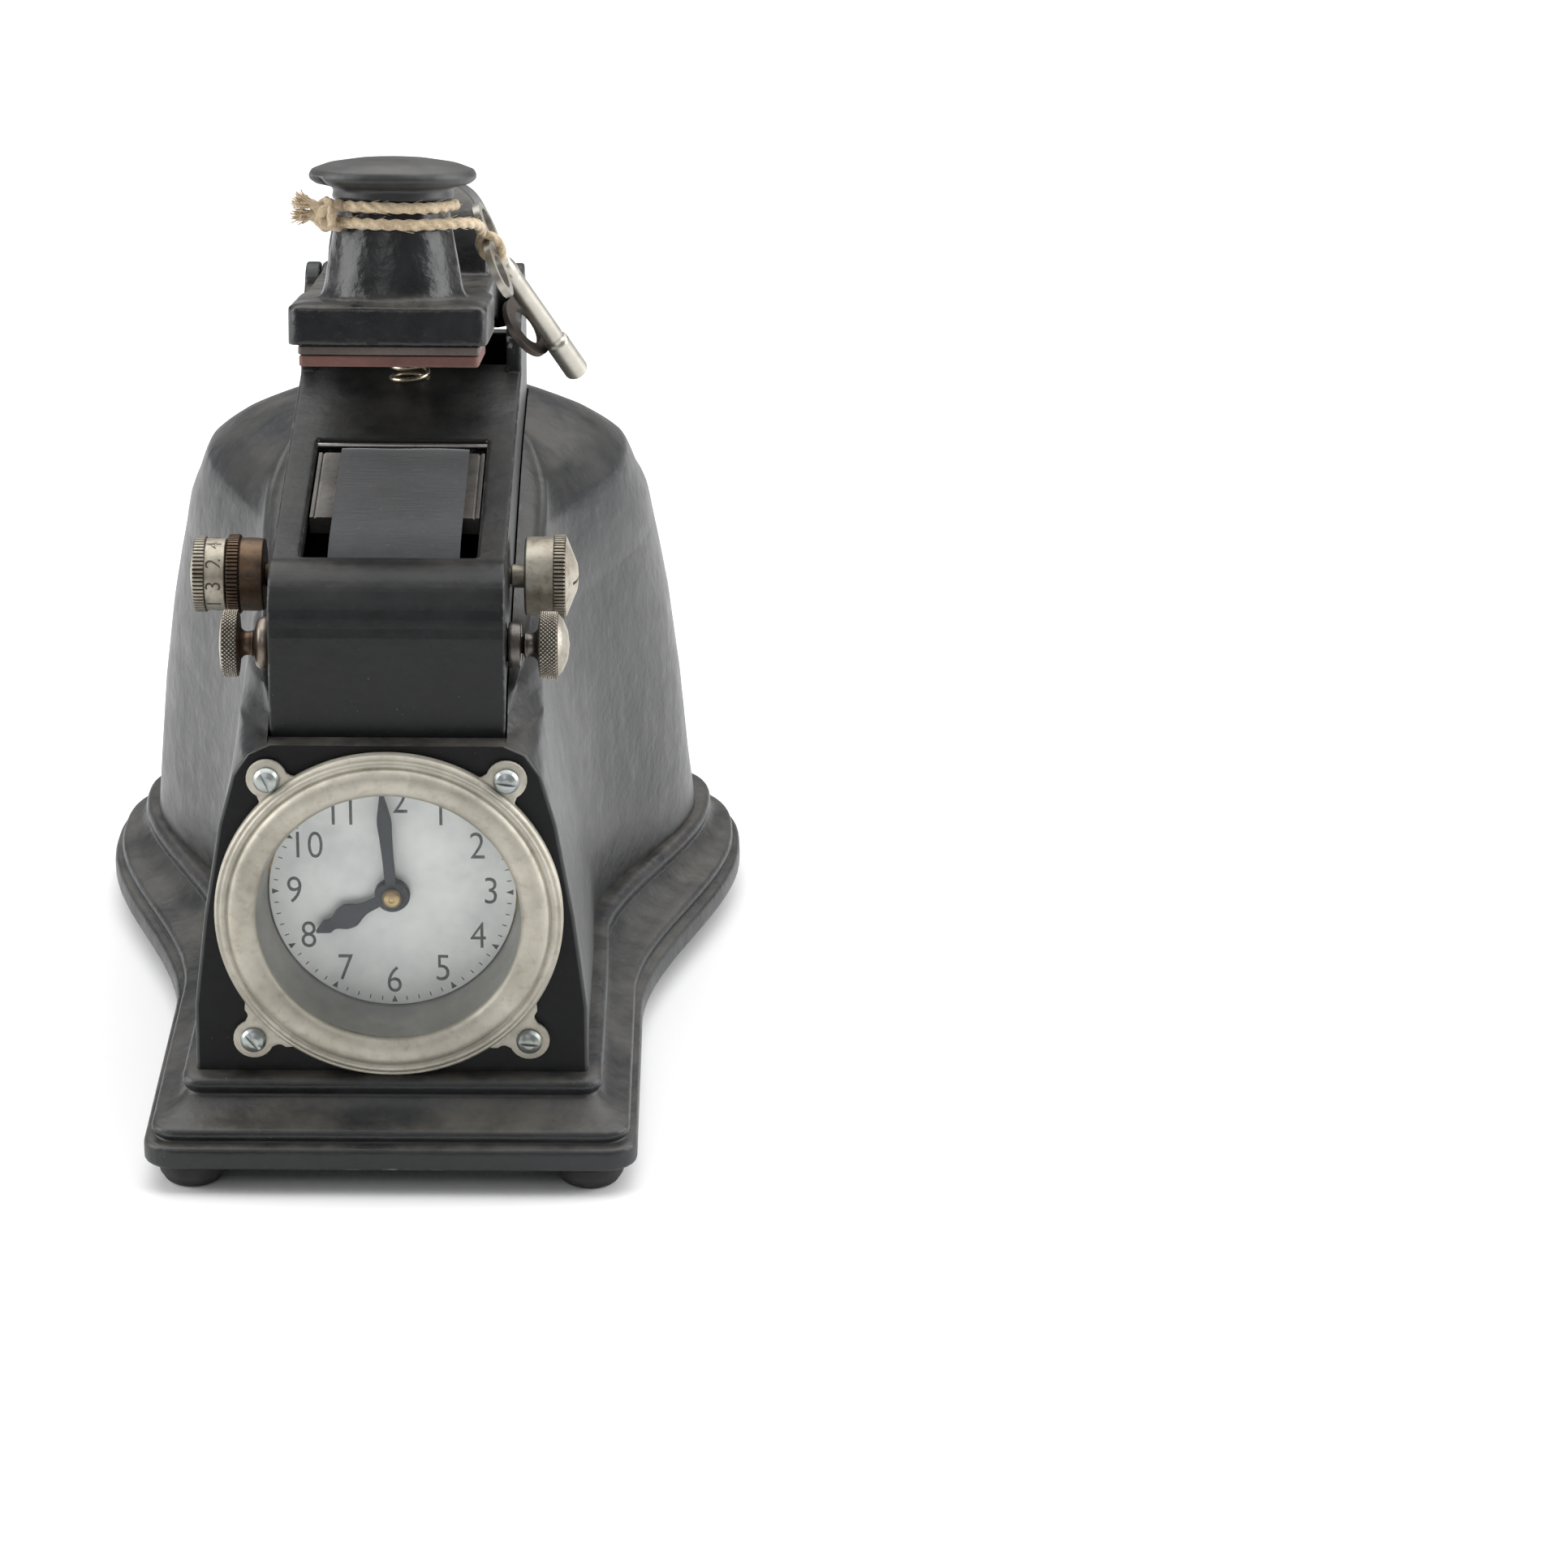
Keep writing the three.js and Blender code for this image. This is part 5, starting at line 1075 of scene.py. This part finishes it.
kprof = fillet([(0, 30.3), (14.6, 30.3), (14.9, 31.0), (14.7, 32.6), (15.2, 33.4), (19.0, 34.2), (20.4, 35.3), (20.55, 36.2), (19.9, 37.6), (15.6, 39.2), (8, 40.3), (0, 40.6)], 1.2, 5)


def chipped(r, t, a):
    d = (t - radians(206) + pi) % (2 * pi) - pi
    if r > 16.5 and a < 36.4:
        bite = max(0.0, 1 - (d / 0.20) ** 2)
        r -= 2.3 * bite * (0.75 + 0.25 * sin(d * 60)) * min(1, (36.6 - a) / 1.2)
    return r + 0.05 * sin(7 * t + a) + 0.04 * sin(13 * t)


kn = lathe("mushroom_knob", kprof, 160, "Z", (0, KNOB_Y, 0), A, rfun=chipped)
done(kn, M_KNOB, "arm", "arm_knob", sharp=50, weighted=False)
pl = prism("platen_shoe", rrect(-22.0, 22.0, -103.8, -67, 1), -6.2, -4.1, "Z", A)
done(bevel(pl, 0.35, 2), M_PLATEN, "arm", "platen_plate")
pad = prism("rubber_platen", rrect(-21.8, 21.8, -103.6, -67.2, 1.2), -9.1, -6.4, "Z", A)
bevel(pad, 0.5, 3)
done(pad, M_PAD, "arm", "platen_pad")

# return spring, squeezed between the table and the lever
pts, H = [], 15.2
for k in range(361):
    t = k / 360
    turns = 5.6
    rr_ = 4.9 - 1.6 * t
    e = 0.10
    zz = H * (0 if t < e * 0.6 else (1 if t > 1 - e * 0.6 else (t - e * 0.6) / (1 - 1.2 * e)))
    a = 2 * pi * turns * t + 0.4
    pts.append((0.2 + rr_ * cos(a), 113.8 + rr_ * sin(a), tz(113.8) + 1.65 + zz + 0.4 * sin(min(1, t / 0.1) * pi / 2)))
spring = tube("cone_spring", pts, 0.62, 12)
done(spring, M_SPRING, "base", "return_spring", sharp=60, weighted=False)
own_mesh(spring)

# ------------------------------------------------------------ twine, key, ring
R0 = 15.05
way = []
for k in range(0, 61):
    s = k / 60
    ang = radians(205 + 455 * s)                             # one and a quarter turns round the neck
    deg = 205 + 455 * s
    drop = 0 if deg < 335 else (1 if deg > 560 else ease((deg - 335) / 225))
    zz = 29.0 - 4.0 * drop + 0.18 * sin(ang * 2.0)
    r = R0 + 0.38 * drop + (0.5 * (1 - s * 10) if s < 0.1 else 0)
    way.append((r * cos(ang), KNOB_Y + r * sin(ang), zz))
way += [(11.3, -95.3, 24.9), (14.6, -92.9, 24.9), (17.6, -89.2, 24.9), (19.9, -84.8, 24.4), (21.0, -80.6, 23.4), (21.35, -77.2, 21.8)]
route = spline(way, 0.36)


def ply(s, a):
    return 0.90 + 0.11 * cos(3 * (a - s * 2 * pi / 10.5)) + 0.02 * sin(s * 2.1 + a)


cordm = tube("jute_cord", route, 1.42, 24, A, rad=ply)


def hairs(name, base, count, spread, length, direction, rad=0.07):
    obs = []
    for k in range(count):
        d = (Vector(direction) + Vector((RND.uniform(-1, 1), RND.uniform(-1, 1), RND.uniform(-1, 1))) * spread).normalized()
        b = Vector(base) + Vector((RND.uniform(-1, 1), RND.uniform(-1, 1), RND.uniform(-1, 1))) * 0.95
        L = length * RND.uniform(0.6, 1.05)
        bend = Vector((RND.uniform(-1, 1), RND.uniform(-1, 1), RND.uniform(-0.6, 0.9))) * L * 0.28
        p = [b, b + d * L * 0.4 + bend * 0.2, b + d * L * 0.75 + bend * 0.6, b + d * L + bend]
        obs.append(tube("h", spline(p, 0.6), rad * RND.uniform(0.7, 1.5), 5, A))
    return join(obs, name)


kc = Vector((-15.2, KNOB_Y - 9.8, 26.9))


def strand(points, rad=1.4):
    return tube("s", spline([kc + Vector(p) * 1.12 for p in points], 0.35), rad, 16, A, rad=ply)


knot = [strand([(3.6, 0.6, 1.6), (2.2, -1.6, 2.3), (-0.2, -2.5, 1.4), (-1.7, -2.0, -0.8), (-0.8, -0.6, -2.4), (1.4, 0.8, -2.2)]),
        strand([(3.4, 1.0, -1.9), (1.6, -1.4, -2.4), (-1.0, -2.2, -1.2), (-1.9, -1.4, 1.0), (-0.9, 0.6, 2.5), (1.2, 1.8, 2.0)]),
        strand([(0.9, -2.5, -2.2), (1.1, -3.0, 0.2), (0.6, -2.3, 2.4), (-0.2, -0.4, 3.1)], 1.3),
        strand([(-0.6, -1.2, 0.9), (-2.0, -1.7, 1.7), (-3.8, -1.9, 2.6)], 1.35),
        strand([(-0.8, -1.2, -0.8), (-2.2, -1.5, -0.6), (-4.2, -1.6, 0.3)], 1.35)]
kn_ob = join(knot, "twine_bound_knot")
done(kn_ob, M_JUTE, "arm", "twine_knot", sharp=70, weighted=False)
fray = join([hairs("f1", kc + Vector((-4.0, -2.0, 2.6)), 150, 0.42, 3.6, (-0.95, -0.25, 0.42), 0.13), hairs("f2", kc + Vector((-4.4, -1.7, 0.2)), 150, 0.42, 3.4, (-1, -0.2, -0.10), 0.13)], "twine_frayed_ends")
done(fray, M_JUTE, "arm", (), sharp=70, weighted=False)
done(cordm, M_JUTE, "arm", ("twine_loops", "twine_tie"), sharp=70, weighted=False)
fz = []
for k in range(90):                                          # loose fibres along the cord
    i = RND.randrange(4, len(route) - 6)
    p, t = route[i], (route[i + 3] - route[i]).normalized()
    n = Vector((RND.uniform(-1, 1), RND.uniform(-1, 1), RND.uniform(-1, 1)))
    n = (n - t * n.dot(t)).normalized()
    a = p + n * 1.30
    fz.append(tube("h", spline([a, a + n * 0.35 + t * 0.8, a + n * RND.uniform(0.3, 0.9) + t * RND.uniform(1.4, 2.6)], 0.5), 0.045, 4, A))
fz = join(fz, "twine_fuzz")
done(fz, M_JUTE, "arm", (), sharp=70, weighted=False)

KEY_AT = Vector((23.4, 80.0, 212.1))
KEY_A = Vector((0.392, 0.504, -0.772)).normalized()
KEY_B = Vector((0.214, -0.862, -0.454)).normalized()


def basis(at, a, b):
    n = b.cross(a).normalized()

    def f(p):
        q = at + b * p[0] + a * p[1] + n * p[2]
        return (q.x, q.y, q.z)
    return f


K = basis(KEY_AT, KEY_A, KEY_B)
bow_half = [(0, -4.3), (2.2, -4.7), (4.6, -5.7), (7.4, -6.35), (10.4, -5.9), (13.2, -4.2), (14.9, -1.6), (15.2, 0.9), (14.2, 3.4), (12.0, 5.2), (9.0, 6.1), (6.2, 5.9), (4.4, 6.0), (3.2, 7.4), (2.8, 9.0)]
outline_pts = bow_half + [(-x, y) for x, y in bow_half[::-1] if x > 0]
bow = prism("bow", outline_pts, -0.85, 0.85, "Z", K)
for s in (-1, 1):
    boolean(bow, prism("c", ring_pts(4.7, 48, 8.5 * s, -0.1, 3.9), -2, 2, "Z", K))
boolean(bow, prism("c", ring_pts(1.3, 32, 0, 1.6, 1.9), -2, 2, "Z", K))
bevel(bow, 0.42, 3)
barrel = lathe("barrel", fillet([(0, 5.2), (2.1, 5.2), (2.5, 6.2), (2.75, 7.6), (2.75, 9.4), (2.55, 10.0), (2.65, 35.6), (2.35, 36.3), (2.35, 37.2), (3.0, 38.0), (3.12, 38.6), (3.12, 50.4), (2.7, 51.0), (0, 51.0)], 0.35), 72, "Y", (0, 0, 0), K)
boolean(barrel, box("c", -1.9, 1.9, 39, 53, -1.9, 1.9, K))
boolean(bow, barrel, "UNION")
done(bow, M_KEY, "arm", "winding_key", sharp=40)
bow.name = "clock_key"
c_ = Vector((0.55, -0.235, -0.806)).normalized()
d_ = Vector((0.336, 0.942, -0.046))
d_ = (d_ - c_ * d_.dot(c_)).normalized()
RG = basis(Vector((30.6, 100.4, 185.9)), c_, d_)
rg = prism("flat_ring", ring_pts(8.2, 72), -0.8, 0.8, "Z", RG)
boolean(rg, prism("c", ring_pts(4.9, 72), -2, 2, "Z", RG))
done(bevel(rg, 0.3, 2), M_RING, "arm", "key_ring")
# the cord's last wrap, round the waist of the bow
wrap = []
for k in range(0, 25):
    a = 2 * pi * k / 24 * 1.25
    wrap.append(Vector(K((2.0 * cos(a) * 0.4 + 0.6, -1.6 + 3.9 * cos(a), 2.35 * sin(a)))))
wr = tube("twine_key_wrap", spline(wrap, 0.35), 1.2, 16, None, rad=ply)
done(wr, M_JUTE, "arm", (), sharp=70, weighted=False)

# -------------------------------------------------------------- floor and light
bpy.ops.mesh.primitive_plane_add(size=6, location=(0, 0, -0.0002))
floor = bpy.context.object
floor.name = "floor"
fm = Mat("pale_floor")
fm.link(fm.ramp(fm.noise(3, 2), [(0.3, 0.80), (0.7, 0.83)]), "Base Color").put("Roughness", 0.9).put("Specular IOR Level", 0.1)
floor.data.materials.append(fm.m)


def area(name, at, target, w, h, power, color=(1, 1, 1)):
    d = bpy.data.lights.new(name, "AREA")
    d.shape, d.size, d.size_y, d.energy, d.color = "RECTANGLE", w, h, power, color
    o = bpy.data.objects.new(name, d)
    SCN.collection.objects.link(o)
    o.location = at
    o.rotation_mode = "QUATERNION"
    o.rotation_quaternion = (Vector(target) - Vector(at)).to_track_quat("-Z", "Y")
    return o


area("overhead", (0.1, 0.9, 2.3), (0, 0.2, 0.0), 3.6, 3.0, 95)
area("left_bank", (-1.25, -0.10, 0.62), (0, 0, 0.10), 0.9, 1.1, 16)
area("right_bank", (1.25, 0.05, 0.62), (0, 0, 0.10), 0.9, 1.1, 16)
area("front_fill", (-0.35, -1.6, 1.3), (0, 0, 0.08), 0.7, 0.5, 3.0)
world = bpy.data.worlds.new("studio")
SCN.world = world
world.use_nodes = True
wt = world.node_tree
bg = wt.nodes["Background"]
geo = wt.nodes.new("ShaderNodeTexCoord")
sepx = wt.nodes.new("ShaderNodeSeparateXYZ")
wt.links.new(geo.outputs["Generated"], sepx.inputs[0])
rampw = wt.nodes.new("ShaderNodeValToRGB")
rampw.color_ramp.elements[0].position, rampw.color_ramp.elements[0].color = 0.0, (0.55, 0.57, 0.60, 1)
rampw.color_ramp.elements[1].position, rampw.color_ramp.elements[1].color = 0.75, (1.0, 1.0, 1.0, 1)
wt.links.new(sepx.outputs["Z"], rampw.inputs["Fac"])
wt.links.new(rampw.outputs["Color"], bg.inputs["Color"])
bg.inputs["Strength"].default_value = 0.34
SCN.view_settings.view_transform = "Standard"
SCN.view_settings.look = "None"
